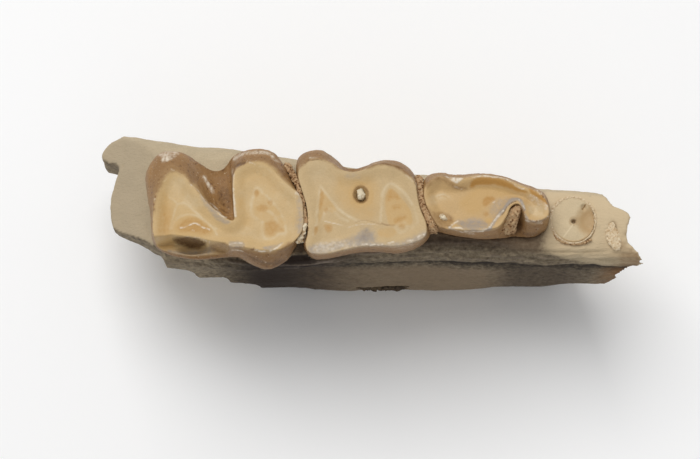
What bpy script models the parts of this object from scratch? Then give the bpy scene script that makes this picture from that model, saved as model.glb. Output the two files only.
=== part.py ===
"""Fossil lower jaw section of a small hornless ruminant.

One piece of a left lower jawbone stands on its worn lower border, teeth up. Two worn molars and the last
premolar sit in it on their roots, and the premolar ahead of them is broken off level with the bone.
+X runs forward along the jaw, +Y towards the cheek and +Z up to the chewing surfaces. The origin is at the
middle of the block, on the surface that it stands on. All sizes below are in millimetres.
"""

import math

import bmesh
import bpy
import numpy as np
from mathutils import Vector, geometry, noise

MM = 0.001

# Driving dimensions
CHEWING_HEIGHT = 11.2  # from the resting face to the worn edges of the crowns
GIRTH_HEIGHT = 9.7  # where a crown is widest
NECK_HEIGHT = 8.75  # where a crown narrows to its roots
NECK_INSET = 0.38  # how far the neck lies inside the girth
WEAR_TILT = -0.05  # rise of the chewing surface for each millimetre towards the cheek
ROW_TO_MIDDLE = 1.26  # how far the line of the tooth row lies from the block's middle, towards the tongue
SOCKET_GAP = 0.1  # between a root and its socket
BONE_LUMPS = 0.14  # most that the bone's low swellings rise or sink
LUMP_PITCH = 2.6  # distance between those swellings
LUMP_SHIFT = (3.1, 0.0, 0.0)  # where the swellings start

# How finely the shapes are divided
SECTION_PITCH = 0.72
POINTS_PER_SECTION_GAP = 3
POINTS_PER_CROWN_GAP = 2
CHEWING_PITCH = 0.5
STUMP_PITCH = 0.3
EDGE_CLEARANCE = 0.45  # share of the pitch that points inside an outline keep from it
CROWN_LEVELS = (0.0, 0.25, 0.55, 1.0)  # shares of the way from the worn edge down to the girth
ROOT_SIDES = 14
ROOT_LEVELS = 5

# Cross-sections of the unbroken jawbone, each as (y, z) from the tongue-side margin of the sockets, down the
# tongue side, round the lower border and up the cheek side to the middle between the margins.
JAW_SECTIONS = {
    -15.5: [(-1.0, 6.6), (-1.6, 6.0), (-1.5, 4.9), (-1.6, 3.0), (-0.8, 0.9), (2.2, 0.4),
            (4.2, 2.4), (5.3, 5.0), (5.1, 6.2), (4.2, 6.9), (1.6, 6.9)],
    -12.2: [(-1.15, 7.6), (-1.75, 6.7), (-1.65, 5.4), (-1.8, 3.1), (-0.9, 0.7), (2.0, 0.2),
            (3.8, 2.3), (5.05, 5.2), (4.85, 6.6), (3.9, 7.5), (1.2, 8.0)],
    -9.6: [(-1.4, 8.3), (-1.9, 7.3), (-1.8, 5.7), (-2.05, 3.1), (-1.1, 0.5), (1.9, 0.1),
           (3.5, 2.2), (4.6, 5.2), (4.4, 6.9), (3.4, 8.1), (0.9, 8.8)],
    -6.0: [(-1.9, 8.9), (-2.3, 7.7), (-1.8, 5.9), (-2.1, 2.9), (-1.2, 0.5), (1.7, 0.0),
           (3.3, 2.0), (4.15, 5.2), (3.95, 7.2), (3.2, 8.5), (0.6, 9.2)],
    -1.0: [(-1.5, 9.0), (-1.9, 7.8), (-1.7, 6.0), (-2.15, 2.7), (-1.3, 0.3), (1.4, -0.1),
           (2.8, 2.0), (3.2, 5.0), (3.05, 7.3), (2.6, 8.6), (0.6, 9.3)],
    4.0: [(-1.0, 9.1), (-1.8, 8.0), (-1.7, 6.1), (-2.15, 2.7), (-1.25, 0.35), (1.1, -0.1),
          (2.3, 2.0), (2.75, 4.8), (2.6, 7.2), (1.9, 8.7), (0.4, 9.3)],
    9.0: [(-1.4, 9.1), (-1.9, 8.1), (-1.75, 6.3), (-2.0, 3.0), (-1.1, 0.6), (0.8, 0.3),
          (1.7, 2.0), (2.05, 4.8), (1.92, 7.4), (1.48, 8.8), (0.2, 9.35)],
    14.5: [(-1.75, 9.0), (-2.1, 8.2), (-2.10, 6.3), (-2.10, 3.8), (-1.2, 1.2), (0.3, 1.0),
           (1.0, 2.4), (1.4, 4.8), (1.4, 7.4), (1.05, 8.8), (0.0, 9.3)],
}

# Crown landmarks go round from the rear corner on the tongue side, along the cheek side and back. Each is
# (edge x, edge y, girth x, girth y): where the worn edge stands, and where the crown is widest below it.
SECOND_MOLAR = {
    "landmarks": [
        (-10.67, -1.45, -10.81, -1.32), (-10.76, -0.25, -10.96, 0.09), (-10.67, 0.71, -11.16, 1.16),
        (-10.42, 1.52, -11.20, 2.27), (-9.88, 2.07, -10.52, 3.25), (-9.29, 1.82, -9.43, 3.28),
        (-8.79, 1.21, -8.65, 2.80), (-8.25, 0.56, -8.20, 2.50), (-7.61, -0.05, -7.86, 2.36),
        (-7.07, -0.46, -7.58, 2.36), (-6.77, -0.46, -7.32, 2.50), (-6.79, 0.25, -7.12, 2.74),
        (-6.84, 1.11, -6.93, 3.03), (-6.77, 1.92, -6.60, 3.28), (-6.28, 2.38, -6.03, 3.43),
        (-5.59, 2.48, -5.30, 3.43), (-4.95, 2.17, -4.70, 3.12), (-4.36, 1.52, -4.20, 2.30),
        (-3.52, 0.71, -3.72, 1.30), (-3.36, -0.15, -3.36, 0.35), (-3.40, -1.01, -3.33, -0.62),
        (-3.90, -1.68, -3.74, -1.48), (-4.56, -2.02, -4.26, -2.25), (-5.39, -2.04, -5.15, -2.64),
        (-6.18, -1.92, -5.99, -2.36), (-6.87, -1.90, -6.67, -2.02), (-7.86, -1.96, -7.81, -2.10),
        (-8.94, -2.02, -8.94, -2.14), (-9.93, -1.88, -10.10, -1.88),
    ],
    "valley": (7, 12),
    "roots": [(-9.1, 0.75, 1.15, 1.45, 5.4), (-5.35, 0.55, 1.20, 1.60, 3.4)],
}
FIRST_MOLAR = {
    "landmarks": [
        (-2.98, -2.20, -2.93, -2.08), (-3.24, -1.82, -3.36, -1.47), (-3.14, -1.21, -3.20, -0.87),
        (-3.13, -0.51, -3.20, -0.11), (-3.24, 0.35, -3.27, 0.75), (-3.46, 1.11, -3.54, 1.55),
        (-3.62, 1.77, -3.74, 2.30), (-3.47, 2.22, -3.64, 2.98), (-3.03, 2.53, -3.13, 3.33),
        (-2.44, 2.58, -2.44, 3.38), (-1.90, 2.38, -1.80, 3.00), (-1.45, 2.07, -1.35, 2.56),
        (-0.96, 1.97, -0.91, 2.46), (-0.42, 2.07, -0.37, 2.57), (0.12, 2.33, 0.17, 2.82),
        (0.71, 2.38, 0.76, 2.87), (1.31, 2.22, 1.40, 2.77), (1.85, 1.82, 1.98, 2.37),
        (2.17, 1.26, 2.28, 1.80), (2.28, 0.56, 2.37, 1.00), (2.46, -0.10, 2.58, 0.22),
        (2.69, -0.71, 2.86, -0.44), (2.64, -1.31, 2.86, -1.04), (2.04, -1.67, 2.24, -1.57),
        (1.21, -1.84, 1.31, -1.84), (0.32, -1.82, 0.42, -1.77), (-0.52, -1.87, -0.52, -1.78),
        (-1.35, -2.03, -1.40, -1.93), (-2.19, -2.22, -2.19, -2.10),
    ],
    "valley": (11, 13),
    "roots": [(-1.85, 0.50, 0.95, 1.30, 3.2), (1.25, 0.40, 0.85, 1.10, 3.4)],
}
LAST_PREMOLAR = {
    "landmarks": [
        (3.27, -0.80, 3.22, -0.66), (2.93, -0.25, 2.80, -0.05), (2.67, 0.35, 2.56, 0.68),
        (2.60, 1.01, 2.52, 1.42), (2.88, 1.47, 2.75, 2.00), (3.42, 1.72, 3.37, 2.22),
        (4.01, 1.56, 4.01, 2.12), (4.66, 1.64, 4.66, 2.12), (5.34, 1.76, 5.34, 2.17),
        (6.08, 1.71, 6.08, 2.12), (6.77, 1.54, 6.77, 1.96), (7.36, 1.26, 7.41, 1.70),
        (7.96, 1.03, 8.05, 1.47), (8.47, 0.72, 8.60, 1.12), (8.70, 0.20, 8.83, 0.56),
        (8.70, -0.26, 8.84, -0.05), (8.40, -0.50, 8.66, -0.60), (7.98, -0.60, 8.25, -0.92),
        (7.58, -0.42, 7.82, -1.02), (7.46, 0.05, 7.50, -1.00), (7.22, 0.32, 7.20, -0.98),
        (6.88, 0.18, 6.90, -1.00), (6.62, -0.35, 6.60, -1.05), (6.25, -0.85, 6.15, -1.08),
        (5.59, -1.02, 5.49, -1.11), (4.75, -1.04, 4.66, -1.02), (3.97, -1.00, 3.87, -0.87),
        (3.56, -0.94, 3.52, -0.78),
    ],
    "valley": (19, 22),
    "roots": [(4.15, 0.55, 0.85, 0.95, 4.0), (7.50, 0.25, 0.80, 0.70, 4.4)],
}
TOOTH_ROOT_TAPER = 0.55  # share of its width that a root loses by its tip
ROOT_TIP_WIDTH = 0.35  # share of the tapered width that the rounded tip ends at
ROOT_LEAN = 0.07  # how far a root leans back for each millimetre down

# The rear tongue-side corner of the second molar is broken off below this line, down to a ledge.
BROKEN_CORNER = [(-11.2, -1.50), (-9.85, -1.26), (-8.45, -1.46), (-7.20, -1.70), (-6.75, -2.10), (-6.9, -3.2),
                 (-11.2, -3.2)]
BROKEN_DEPTH = 1.25
PULP_HOLLOW = (-8.85, -1.72, 0.62, 0.26, 0.55)  # x, y, half length, half width, depth
BROKEN_STEP = (-0.06, 0.16)  # the break drops between these distances inside that line

# How far the dentine is worn below its edge, and how far in from the edge it reaches that depth
DISH = {"second_molar": 0.20, "first_molar": 0.16, "last_premolar": 0.34}
DISH_REACH = {"second_molar": 0.7, "first_molar": 0.8, "last_premolar": 0.65}
EDGE_WIDTH = 0.05
ENAMEL_PIT = (-0.53, 0.81, 0.27, 0.33, 0.45)  # the last of the first molar's enamel pocket
STUMP = {"centre": (10.05, -0.08), "radii": (1.05, 1.10), "height": 9.38, "tip": 4.6}
# Pits in the stump's broken face: x and y from its centre, half length, half width, depth
STUMP_PITS = [(0.0, -0.07, 0.13, 0.13, 0.22), (0.65, 0.0, 0.36, 0.75, 0.16)]
STUMP_DOME = 0.05  # how far its broken face rises in the middle
FRONT_SOCKET = {"centre": (12.15, -0.60), "radii": (0.34, 0.75), "tip": 8.0}

# Breaks, each as a line of points across it. The rear and front are seen from above as (x, y), and the lower
# rear and upper rear from the side as (x, z).
REAR_BREAK = [(-10.3, -6.0), (-10.35, -1.75), (-10.85, -1.15), (-11.8, -0.52), (-12.5, -0.22), (-13.0, 0.10),
              (-13.18, 0.9), (-13.15, 1.7), (-12.97, 2.6), (-12.72, 3.25), (-13.0, 3.5), (-13.5, 3.62),
              (-13.7, 4.0), (-13.5, 4.4), (-13.1, 4.75), (-12.6, 5.1), (-12.3, 8.0)]
FRONT_BREAK = [(14.2, -6.0), (14.05, -2.5), (13.80, -2.05), (13.20, -1.50), (12.77, -1.12), (12.72, -0.55),
               (12.88, 0.08), (12.64, 0.44), (12.08, 0.74), (11.95, 1.24), (11.75, 1.7), (11.3, 6.0)]
FRONT_SLOPE = 0.30  # how far the front break leans forward for each millimetre up
FRONT_LEVEL = 9.2  # height at which that line is drawn
LOWER_BREAK = [(-17.0, 6.6), (-12.0, 6.5), (-9.9, 6.2), (-9.0, 5.4), (-8.8, 4.6), (-7.4, 4.4), (-7.2, 3.7),
               (-5.9, 3.4), (-5.7, 2.4), (-5.6, 1.0), (-5.4, -1.5), (-5.2, -5.0)]
LOWER_TILT = 0.45  # how far the lower rear break drops for each millimetre towards the cheek
LOWER_SIDE = -2.0  # where across the bone that line is drawn
UPPER_BREAK = [(-17.0, 5.9), (-13.4, 6.4), (-12.2, 6.9), (-11.2, 7.5), (-10.9, 8.4), (-10.85, 14.0)]
BREAK_ROUGHNESS = 0.08
BREAK_PITCH = 1.1  # distance between the bumps of a broken face
BREAK_SHIFT = (9.0, 4.0, 2.0)  # keeps the bumps along a break apart from those across it
BREAK_HEIGHTS = (-1.5, 11.0)
BREAK_WIDTHS = (-4.5, 7.0)
BREAK_LEVELS = 10

BONE_COLOUR = (0.58, 0.47, 0.34, 1.0)
MOLAR_COLOUR = (0.56, 0.42, 0.25, 1.0)
PREMOLAR_COLOUR = (0.58, 0.42, 0.23, 1.0)
STUMP_COLOUR = (0.50, 0.37, 0.22, 1.0)
BONE_ROUGHNESS = 0.6
TOOTH_ROUGHNESS = 0.35
STUMP_ROUGHNESS = 0.45


def curve_through(points, per_gap, closed=True):
    """Points along a smooth Catmull-Rom curve through the given ones, with per_gap of them to each gap."""
    knots = np.asarray(points, float)
    count = len(knots)
    gaps = count if closed else count - 1
    made = []
    for i in range(gaps):
        if closed:
            before, here, there, after = (knots[(i + k) % count] for k in (-1, 0, 1, 2))
        else:
            before, here, there, after = (knots[min(max(i + k, 0), count - 1)] for k in (-1, 0, 1, 2))
        for step in range(per_gap):
            t = step / per_gap
            bend = (2 * before - 5 * here + 4 * there - after) * t**2
            twist = (3 * here - before - 3 * there + after) * t**3
            made.append(0.5 * (2 * here + (there - before) * t + bend + twist))
    if not closed:
        made.append(knots[-1])
    return np.array(made)


def grown(loop, distance):
    """A closed outline moved outwards along its own normals, or inwards if distance is negative."""
    along = np.roll(loop, -1, axis=0) - np.roll(loop, 1, axis=0)
    normals = np.stack([along[:, 1], -along[:, 0]], axis=1)
    normals /= np.maximum(np.linalg.norm(normals, axis=1, keepdims=True), 1e-9)
    turn = np.sum(loop[:, 0] * np.roll(loop[:, 1], -1) - np.roll(loop[:, 0], -1) * loop[:, 1])
    return loop + normals * distance * math.copysign(1.0, turn)


def drawn_in(loop, line, distance):
    """A closed outline moved by a distance towards a straight line inside it, given as its two ends."""
    start, end = (np.array(p, float) for p in line)
    share = np.clip(((loop - start) @ (end - start)) / ((end - start) @ (end - start)), 0, 1)
    inwards = start + share[:, None] * (end - start) - loop
    return loop + inwards / np.linalg.norm(inwards, axis=1, keepdims=True) * distance


def inside(points, loop):
    """Whether each point of the plane lies inside a closed outline."""
    x, y = points[:, 0:1], points[:, 1:2]
    a, b = loop, np.roll(loop, -1, axis=0)
    spans = (a[:, 1] > y) != (b[:, 1] > y)
    rise = np.where(a[:, 1] == b[:, 1], 1e-12, b[:, 1] - a[:, 1])
    crossing = a[:, 0] + (y - a[:, 1]) * (b[:, 0] - a[:, 0]) / rise
    return (spans & (x < crossing)).sum(axis=1) % 2 == 1


def distance_to(points, loop):
    """Distance of each point of the plane from a closed outline."""
    a, b = loop, np.roll(loop, -1, axis=0)
    edge = b - a
    share = ((points[:, None] - a) * edge).sum(-1) / np.maximum((edge**2).sum(-1), 1e-12)
    nearest = a + np.clip(share, 0, 1)[..., None] * edge
    return np.linalg.norm(points[:, None] - nearest, axis=-1).min(axis=1)


def smooth_step(value, low, high):
    """0 below low, 1 above high and a smooth rise between."""
    t = np.clip((np.asarray(value, float) - low) / (high - low), 0, 1)
    return t * t * (3 - 2 * t)


def hollow(points, pit):
    """Depth at each point of a round-bottomed pit given as x, y, half length, half width, depth."""
    x, y, half_length, half_width, depth = pit
    reach = ((points[:, 0] - x) / half_length) ** 2 + ((points[:, 1] - y) / half_width) ** 2
    return depth * np.exp(-(reach**1.5))


def add_ring(bm, points):
    """A ring of vertices at the given points, in millimetres."""
    return [bm.verts.new(Vector(p) * MM) for p in points]


def bridge(bm, ring, next_ring):
    """Faces between two rings of equal count."""
    for i in range(len(ring)):
        j = (i + 1) % len(ring)
        bm.faces.new((ring[i], ring[j], next_ring[j], next_ring[i]))


def fill(bm, ring, holes=(), pitch=None, height=None):
    """Closes a ring with triangles, leaving out the rings in holes.

    Where pitch is given, points that far apart are laid inside it at the height that height() gives.
    """
    loops = [ring, *holes]
    verts = [v for loop in loops for v in loop]
    flat = np.array([(v.co.x, v.co.y) for v in verts]) / MM
    edges, start = [], 0
    for loop in loops:
        edges += [(start + i, start + (i + 1) % len(loop)) for i in range(len(loop))]
        start += len(loop)
    outline = flat[: len(ring)]
    if pitch:
        low, high = outline.min(axis=0), outline.max(axis=0)
        rows = np.arange(low[1], high[1], pitch * math.sqrt(0.75))
        columns = np.arange(low[0], high[0], pitch)
        grid = np.array([(x + (i % 2) * pitch / 2, y) for i, y in enumerate(rows) for x in columns])
        grid = grid[inside(grid, outline)]
        grid = grid[distance_to(grid, outline) > EDGE_CLEARANCE * pitch]
        verts += add_ring(bm, np.column_stack([grid, height(grid)]))
        flat = np.vstack([flat, grid])
    points, _, faces, sources, _, _ = geometry.delaunay_2d_cdt([Vector(p) for p in flat], edges, [], 0, 1e-7)
    middles = np.array([[sum(points[i][k] for i in f) / len(f) for k in (0, 1)] for f in faces])
    keep = inside(middles, outline)
    for hole in holes:
        keep &= ~inside(middles, np.array([(v.co.x, v.co.y) for v in hole]) / MM)
    for face, kept in zip(faces, keep):
        if kept:
            bm.faces.new([verts[sources[i][0]] for i in face])


def add_root(bm, centre, radii, top, tip, gap=0.0):
    """A tapering root with a rounded tip. Returns its open top ring."""
    rings = []
    for level in range(ROOT_LEVELS + 1):
        share = level / ROOT_LEVELS
        z = top + (tip - gap - top) * share
        narrow = (1 - TOOTH_ROOT_TAPER * share) * max(math.sqrt(1 - share**4), ROOT_TIP_WIDTH)
        angles = [2 * math.pi * i / ROOT_SIDES for i in range(ROOT_SIDES)]
        rings.append(add_ring(bm, [
            (centre[0] + (z - top) * ROOT_LEAN + (radii[0] * narrow + gap) * math.cos(a),
             centre[1] + (radii[1] * narrow + gap) * math.sin(a), z) for a in angles
        ]))
    for upper, lower in zip(rings, rings[1:]):
        bridge(bm, upper, lower)
    bm.faces.new(rings[-1])
    return rings[0]


def finish(bm, name, colour, roughness, collection):
    """Turns the built mesh into a named object with its own material."""
    bmesh.ops.recalc_face_normals(bm, faces=bm.faces)
    mesh = bpy.data.meshes.new(name)
    bm.to_mesh(mesh)
    bm.free()
    obj = bpy.data.objects.new(name, mesh)
    collection.objects.link(obj)
    if colour:
        material = bpy.data.materials.new(name)
        material.use_nodes = True
        shader = material.node_tree.nodes["Principled BSDF"]
        shader.inputs["Base Color"].default_value = colour
        shader.inputs["Roughness"].default_value = roughness
        shader.inputs["Metallic"].default_value = 0.0
        mesh.materials.append(material)
    return obj


def chewing_height(name, outline):
    """The height of a crown's chewing surface as a function of place in the plane."""

    def height(points):
        points = np.asarray(points, float)
        z = CHEWING_HEIGHT + WEAR_TILT * points[:, 1]
        z -= DISH[name] * smooth_step(distance_to(points, outline), EDGE_WIDTH, DISH_REACH[name])
        if name == "second_molar":
            corner = np.array(BROKEN_CORNER)
            depth_in = np.where(inside(points, corner), 1, -1) * distance_to(points, corner)
            z -= BROKEN_DEPTH * smooth_step(depth_in, *BROKEN_STEP) + hollow(points, PULP_HOLLOW)
        if name == "first_molar":
            z -= hollow(points, ENAMEL_PIT)
        return z

    return height


def crown_rings(tooth, height, gap):
    """Rings of points from a crown's worn edge down to its neck."""
    marks = np.array(tooth["landmarks"])
    edge = curve_through(marks[:, :2], POINTS_PER_CROWN_GAP)
    girth = curve_through(marks[:, 2:], POINTS_PER_CROWN_GAP)
    first, last = tooth["valley"]
    late = np.zeros(len(marks))
    late[first:last + 1] = 1.0
    late = np.repeat((late + np.roll(late, 1) + np.roll(late, -1)) / 3, POINTS_PER_CROWN_GAP)[:, None]
    top = height(edge)
    rings = []
    for share in CROWN_LEVELS:
        bulge = math.sin(share * math.pi / 2)
        lean = bulge * (1 - late) + share**3 * late
        flat = grown(edge + (girth - edge) * lean, gap)
        z = top + (GIRTH_HEIGHT - top) * share
        rings.append(np.column_stack([flat, z]))
    neck = grown(drawn_in(girth, [root[:2] for root in tooth["roots"]], NECK_INSET), gap)
    rings.append(np.column_stack([neck, np.full(len(neck), NECK_HEIGHT - gap)]))
    return rings


def make_tooth(name, tooth, collection, colour=None, gap=0.0):
    """A crown on its two roots, or with a gap the cutter for its socket."""
    bm = bmesh.new()
    outline = curve_through(np.array(tooth["landmarks"])[:, :2], POINTS_PER_CROWN_GAP)
    height = chewing_height(name.removesuffix("_socket"), outline)
    rings = [add_ring(bm, ring) for ring in crown_rings(tooth, height, gap)]
    for upper, lower in zip(rings, rings[1:]):
        bridge(bm, upper, lower)
    fill(bm, rings[0], pitch=CHEWING_PITCH, height=height)
    tops = [
        add_root(bm, (x, y), (rx, ry), NECK_HEIGHT - gap, tip, gap) for x, y, rx, ry, tip in tooth["roots"]
    ]
    fill(bm, rings[-1], holes=tops)
    return finish(bm, name, colour, TOOTH_ROUGHNESS, collection)


def make_stump(name, collection, colour=None, gap=0.0):
    """The root of the broken premolar, snapped off level with the bone, or the cutter for its socket."""
    bm = bmesh.new()
    x, y = STUMP["centre"]
    ring = add_root(bm, (x, y), STUMP["radii"], STUMP["height"], STUMP["tip"], gap)
    if gap:
        above = add_ring(bm, [(v.co.x / MM, v.co.y / MM, CHEWING_HEIGHT) for v in ring])
        bridge(bm, above, ring)
        bm.faces.new(above)
        return finish(bm, name, None, 0, collection)

    def height(points):
        away = (np.asarray(points) - (x, y)) / STUMP["radii"]
        z = STUMP["height"] + STUMP_DOME * (1 - (away**2).sum(axis=1))
        for px, py, half_length, half_width, depth in STUMP_PITS:
            z -= hollow(points, (x + px, y + py, half_length, half_width, depth))
        return z

    fill(bm, ring, pitch=STUMP_PITCH, height=height)
    return finish(bm, name, colour, STUMP_ROUGHNESS, collection)


def make_front_socket(collection):
    """The cutter for the empty socket that the front break runs through."""
    bm = bmesh.new()
    socket = FRONT_SOCKET
    ring = add_root(bm, socket["centre"], socket["radii"], CHEWING_HEIGHT, socket["tip"])
    bm.faces.new(ring)
    return finish(bm, "front_socket", None, 0, collection)


def jaw_section(x):
    """The unbroken jawbone's cross-section at x, as (y, z) points between the drawn sections."""
    places = sorted(JAW_SECTIONS)
    drawn = np.array([JAW_SECTIONS[p] for p in places])
    slopes = np.gradient(drawn, places, axis=0)
    i = min(max(int(np.searchsorted(places, x)) - 1, 0), len(places) - 2)
    span = places[i + 1] - places[i]
    t = (x - places[i]) / span
    return ((2 * t**3 - 3 * t**2 + 1) * drawn[i] + (t**3 - 2 * t**2 + t) * span * slopes[i]
            + (3 * t**2 - 2 * t**3) * drawn[i + 1] + (t**3 - t**2) * span * slopes[i + 1])


def make_jawbone(collection):
    """The unbroken bone, lofted through its cross-sections, with a small flat worn along its lower border."""
    bm = bmesh.new()
    ends = min(JAW_SECTIONS), max(JAW_SECTIONS)
    rings = []
    for x in np.linspace(*ends, round((ends[1] - ends[0]) / SECTION_PITCH)):
        loop = curve_through(jaw_section(x), POINTS_PER_SECTION_GAP)
        lumps = [noise.noise(Vector((x, y, z)) / LUMP_PITCH + Vector(LUMP_SHIFT)) for y, z in loop]
        loop = loop + (grown(loop, 1.0) - loop) * BONE_LUMPS * np.array(lumps)[:, None]
        rings.append(add_ring(bm, [(x, y, z) for y, z in loop]))
    for ring, next_ring in zip(rings, rings[1:]):
        bridge(bm, ring, next_ring)
    bm.faces.new(rings[0])
    bm.faces.new(rings[-1])
    sliced = bmesh.ops.bisect_plane(
        bm, geom=bm.verts[:] + bm.edges[:] + bm.faces[:], dist=1e-7, plane_no=(0, 0, -1), clear_outer=True
    )
    border = [edge for edge in sliced["geom_cut"] if isinstance(edge, bmesh.types.BMEdge)]
    bmesh.ops.triangle_fill(bm, edges=border, use_beauty=True)
    bmesh.ops.triangulate(bm, faces=bm.faces)
    return finish(bm, "jawbone", BONE_COLOUR, BONE_ROUGHNESS, collection)


def make_break(name, line, far, place, levels, collection):
    """A block whose one side is a rough broken face.

    Args:
        name: the cutter's name.
        line: points across the break, in its own plane.
        far: how far the block's back lies from that line, as an offset in the same plane.
        place: turns a point of that plane and a level into x, y, z.
        levels: where the line is repeated, across the plane.
        collection: where the cutter goes.
    """
    bm = bmesh.new()
    drawn = curve_through(line, 2, closed=False)
    rings = []
    for level in levels:
        shifted = []
        for u, v in drawn:
            at = Vector((u, v, level)) / BREAK_PITCH
            du, dv = noise.noise(at), noise.noise(at + Vector(BREAK_SHIFT))
            shifted.append((u + BREAK_ROUGHNESS * du, v + BREAK_ROUGHNESS * dv))
        back = [(drawn[-1][0] + far[0], drawn[-1][1] + far[1]), (drawn[0][0] + far[0], drawn[0][1] + far[1])]
        rings.append(add_ring(bm, [place(u, v, level) for u, v in shifted + back]))
    for ring, next_ring in zip(rings, rings[1:]):
        bridge(bm, ring, next_ring)
    bm.faces.new(rings[0])
    bm.faces.new(rings[-1])
    bmesh.ops.triangulate(bm, faces=bm.faces)
    return finish(bm, name, None, 0, collection)


def make_breaks(collection):
    """Cutters for the four broken faces of the bone."""
    heights = np.linspace(*BREAK_HEIGHTS, BREAK_LEVELS)
    across = np.linspace(*BREAK_WIDTHS, BREAK_LEVELS)
    return [
        make_break("rear_break", REAR_BREAK, (-6, 0), lambda x, y, z: (x, y, z), heights, collection),
        make_break("front_break", FRONT_BREAK, (7, 0),
                   lambda x, y, z: (x + (z - FRONT_LEVEL) * FRONT_SLOPE, y, z), heights, collection),
        make_break("lower_break", LOWER_BREAK, (0, -11),
                   lambda x, z, y: (x, y, z - (y - LOWER_SIDE) * LOWER_TILT), across, collection),
        make_break("upper_break", UPPER_BREAK, (0, 8), lambda x, z, y: (x, y, z), across, collection),
    ]


def cut(obj, cutters):
    """Takes each cutter away from the object."""
    for cutter in cutters:
        cutter.hide_render = True
        cutter.display_type = "WIRE"
        modifier = obj.modifiers.new(cutter.name, "BOOLEAN")
        modifier.operation = "DIFFERENCE"
        modifier.solver = "EXACT"
        modifier.object = cutter


def new_collection(name):
    """A collection in the scene."""
    made = bpy.data.collections.new(name)
    bpy.context.scene.collection.children.link(made)
    return made


def main():
    """Builds the jawbone, its teeth and the broken root, and stands them at the origin."""
    for obj in list(bpy.data.objects):
        bpy.data.objects.remove(obj)
    parts = new_collection("fossil_jaw_section")
    cutters = new_collection("cutters")
    teeth = {
        "second_molar": (SECOND_MOLAR, MOLAR_COLOUR),
        "first_molar": (FIRST_MOLAR, MOLAR_COLOUR),
        "last_premolar": (LAST_PREMOLAR, PREMOLAR_COLOUR),
    }
    jawbone = make_jawbone(parts)
    sockets = []
    for name, (tooth, colour) in teeth.items():
        make_tooth(name, tooth, parts, colour)
        sockets.append(make_tooth(name + "_socket", tooth, cutters, gap=SOCKET_GAP))
    make_stump("broken_root", parts, STUMP_COLOUR)
    sockets += [make_stump("broken_root_socket", cutters, gap=SOCKET_GAP), make_front_socket(cutters)]
    cut(jawbone, make_breaks(cutters) + sockets)
    block = bpy.data.objects.new("block", None)
    parts.objects.link(block)
    for obj in list(parts.objects) + list(cutters.objects):
        if obj is not block:
            obj.parent = block
    block.location.y = -ROW_TO_MIDDLE * MM


main()
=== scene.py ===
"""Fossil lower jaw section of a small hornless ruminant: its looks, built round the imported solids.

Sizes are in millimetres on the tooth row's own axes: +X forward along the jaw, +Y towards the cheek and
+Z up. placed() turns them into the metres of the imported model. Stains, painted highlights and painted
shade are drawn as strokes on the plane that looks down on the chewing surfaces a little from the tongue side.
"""

import itertools
import logging
import math
import sys
from dataclasses import dataclass, field
from enum import Enum
from typing import Callable

import bmesh
import bpy
import numpy as np
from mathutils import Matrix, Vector, geometry


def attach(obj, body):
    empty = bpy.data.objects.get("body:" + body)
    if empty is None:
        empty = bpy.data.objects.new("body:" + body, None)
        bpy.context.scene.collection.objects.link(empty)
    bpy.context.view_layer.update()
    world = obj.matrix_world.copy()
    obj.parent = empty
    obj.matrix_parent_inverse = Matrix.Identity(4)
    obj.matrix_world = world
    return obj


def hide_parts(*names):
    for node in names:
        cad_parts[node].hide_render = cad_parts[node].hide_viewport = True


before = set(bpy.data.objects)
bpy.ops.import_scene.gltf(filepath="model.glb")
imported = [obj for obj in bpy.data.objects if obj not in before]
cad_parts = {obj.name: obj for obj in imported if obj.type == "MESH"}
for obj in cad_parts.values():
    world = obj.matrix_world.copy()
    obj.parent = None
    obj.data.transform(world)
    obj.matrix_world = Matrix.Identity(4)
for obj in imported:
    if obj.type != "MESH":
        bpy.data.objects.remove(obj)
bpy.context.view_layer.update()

LOG = logging.getLogger("jaw_section")
MM = 0.001
ROW_TO_MIDDLE = 1.26
CHEWING_HEIGHT = 11.2
LOOK_DOWN = math.radians(77.0)
PHOTO_WIDTH, PHOTO_HEIGHT = 700, 459
PIXELS_PER_MM = 20.3
ROW_ZERO_ACROSS, ROW_ZERO_DOWN = 371.5, 210.0
BODY = "root"
POINTS_AT_ONCE = 2000
NOISE_SIZE = 1024
IVORY_SPREAD = 1.45
Socket = bpy.types.NodeSocket
Pit = tuple[float, float, float, float, float]


# Plane geometry


def curve_through(points: list | np.ndarray, per_gap: int, closed: bool = True) -> np.ndarray:
    """Points along a smooth curve through the given ones.

    Args:
        points: the points to pass through, one row each.
        per_gap: how many points each gap gets.
        closed: whether the curve returns to its start.

    Returns:
        The points of the curve, one row each.
    """
    knots = np.asarray(points, float)
    count = len(knots)
    gaps = np.arange(count if closed else count - 1)
    picks = [gaps + k for k in (-1, 0, 1, 2)]
    picks = [p % count if closed else np.clip(p, 0, count - 1) for p in picks]
    before, here, there, after = (knots[p][:, None] for p in picks)
    t = (np.arange(per_gap) / per_gap)[None, :, None]
    bend = (2 * before - 5 * here + 4 * there - after) * t**2
    twist = (3 * here - before - 3 * there + after) * t**3
    made = (0.5 * (2 * here + (there - before) * t + bend + twist)).reshape(-1, knots.shape[1])
    return made if closed else np.vstack([made, knots[-1]])


def grown(loop: np.ndarray, distance: float) -> np.ndarray:
    """Moves a closed outline outwards along its own normals.

    Args:
        loop: the outline's points.
        distance: how far each point moves.

    Returns:
        The moved outline.
    """
    along = np.roll(loop, -1, axis=0) - np.roll(loop, 1, axis=0)
    normals = np.stack([along[:, 1], -along[:, 0]], axis=1)
    normals /= np.maximum(np.linalg.norm(normals, axis=1, keepdims=True), 1e-9)
    turn = np.sum(loop[:, 0] * np.roll(loop[:, 1], -1) - np.roll(loop[:, 0], -1) * loop[:, 1])
    return loop + normals * distance * math.copysign(1.0, turn)


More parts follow.
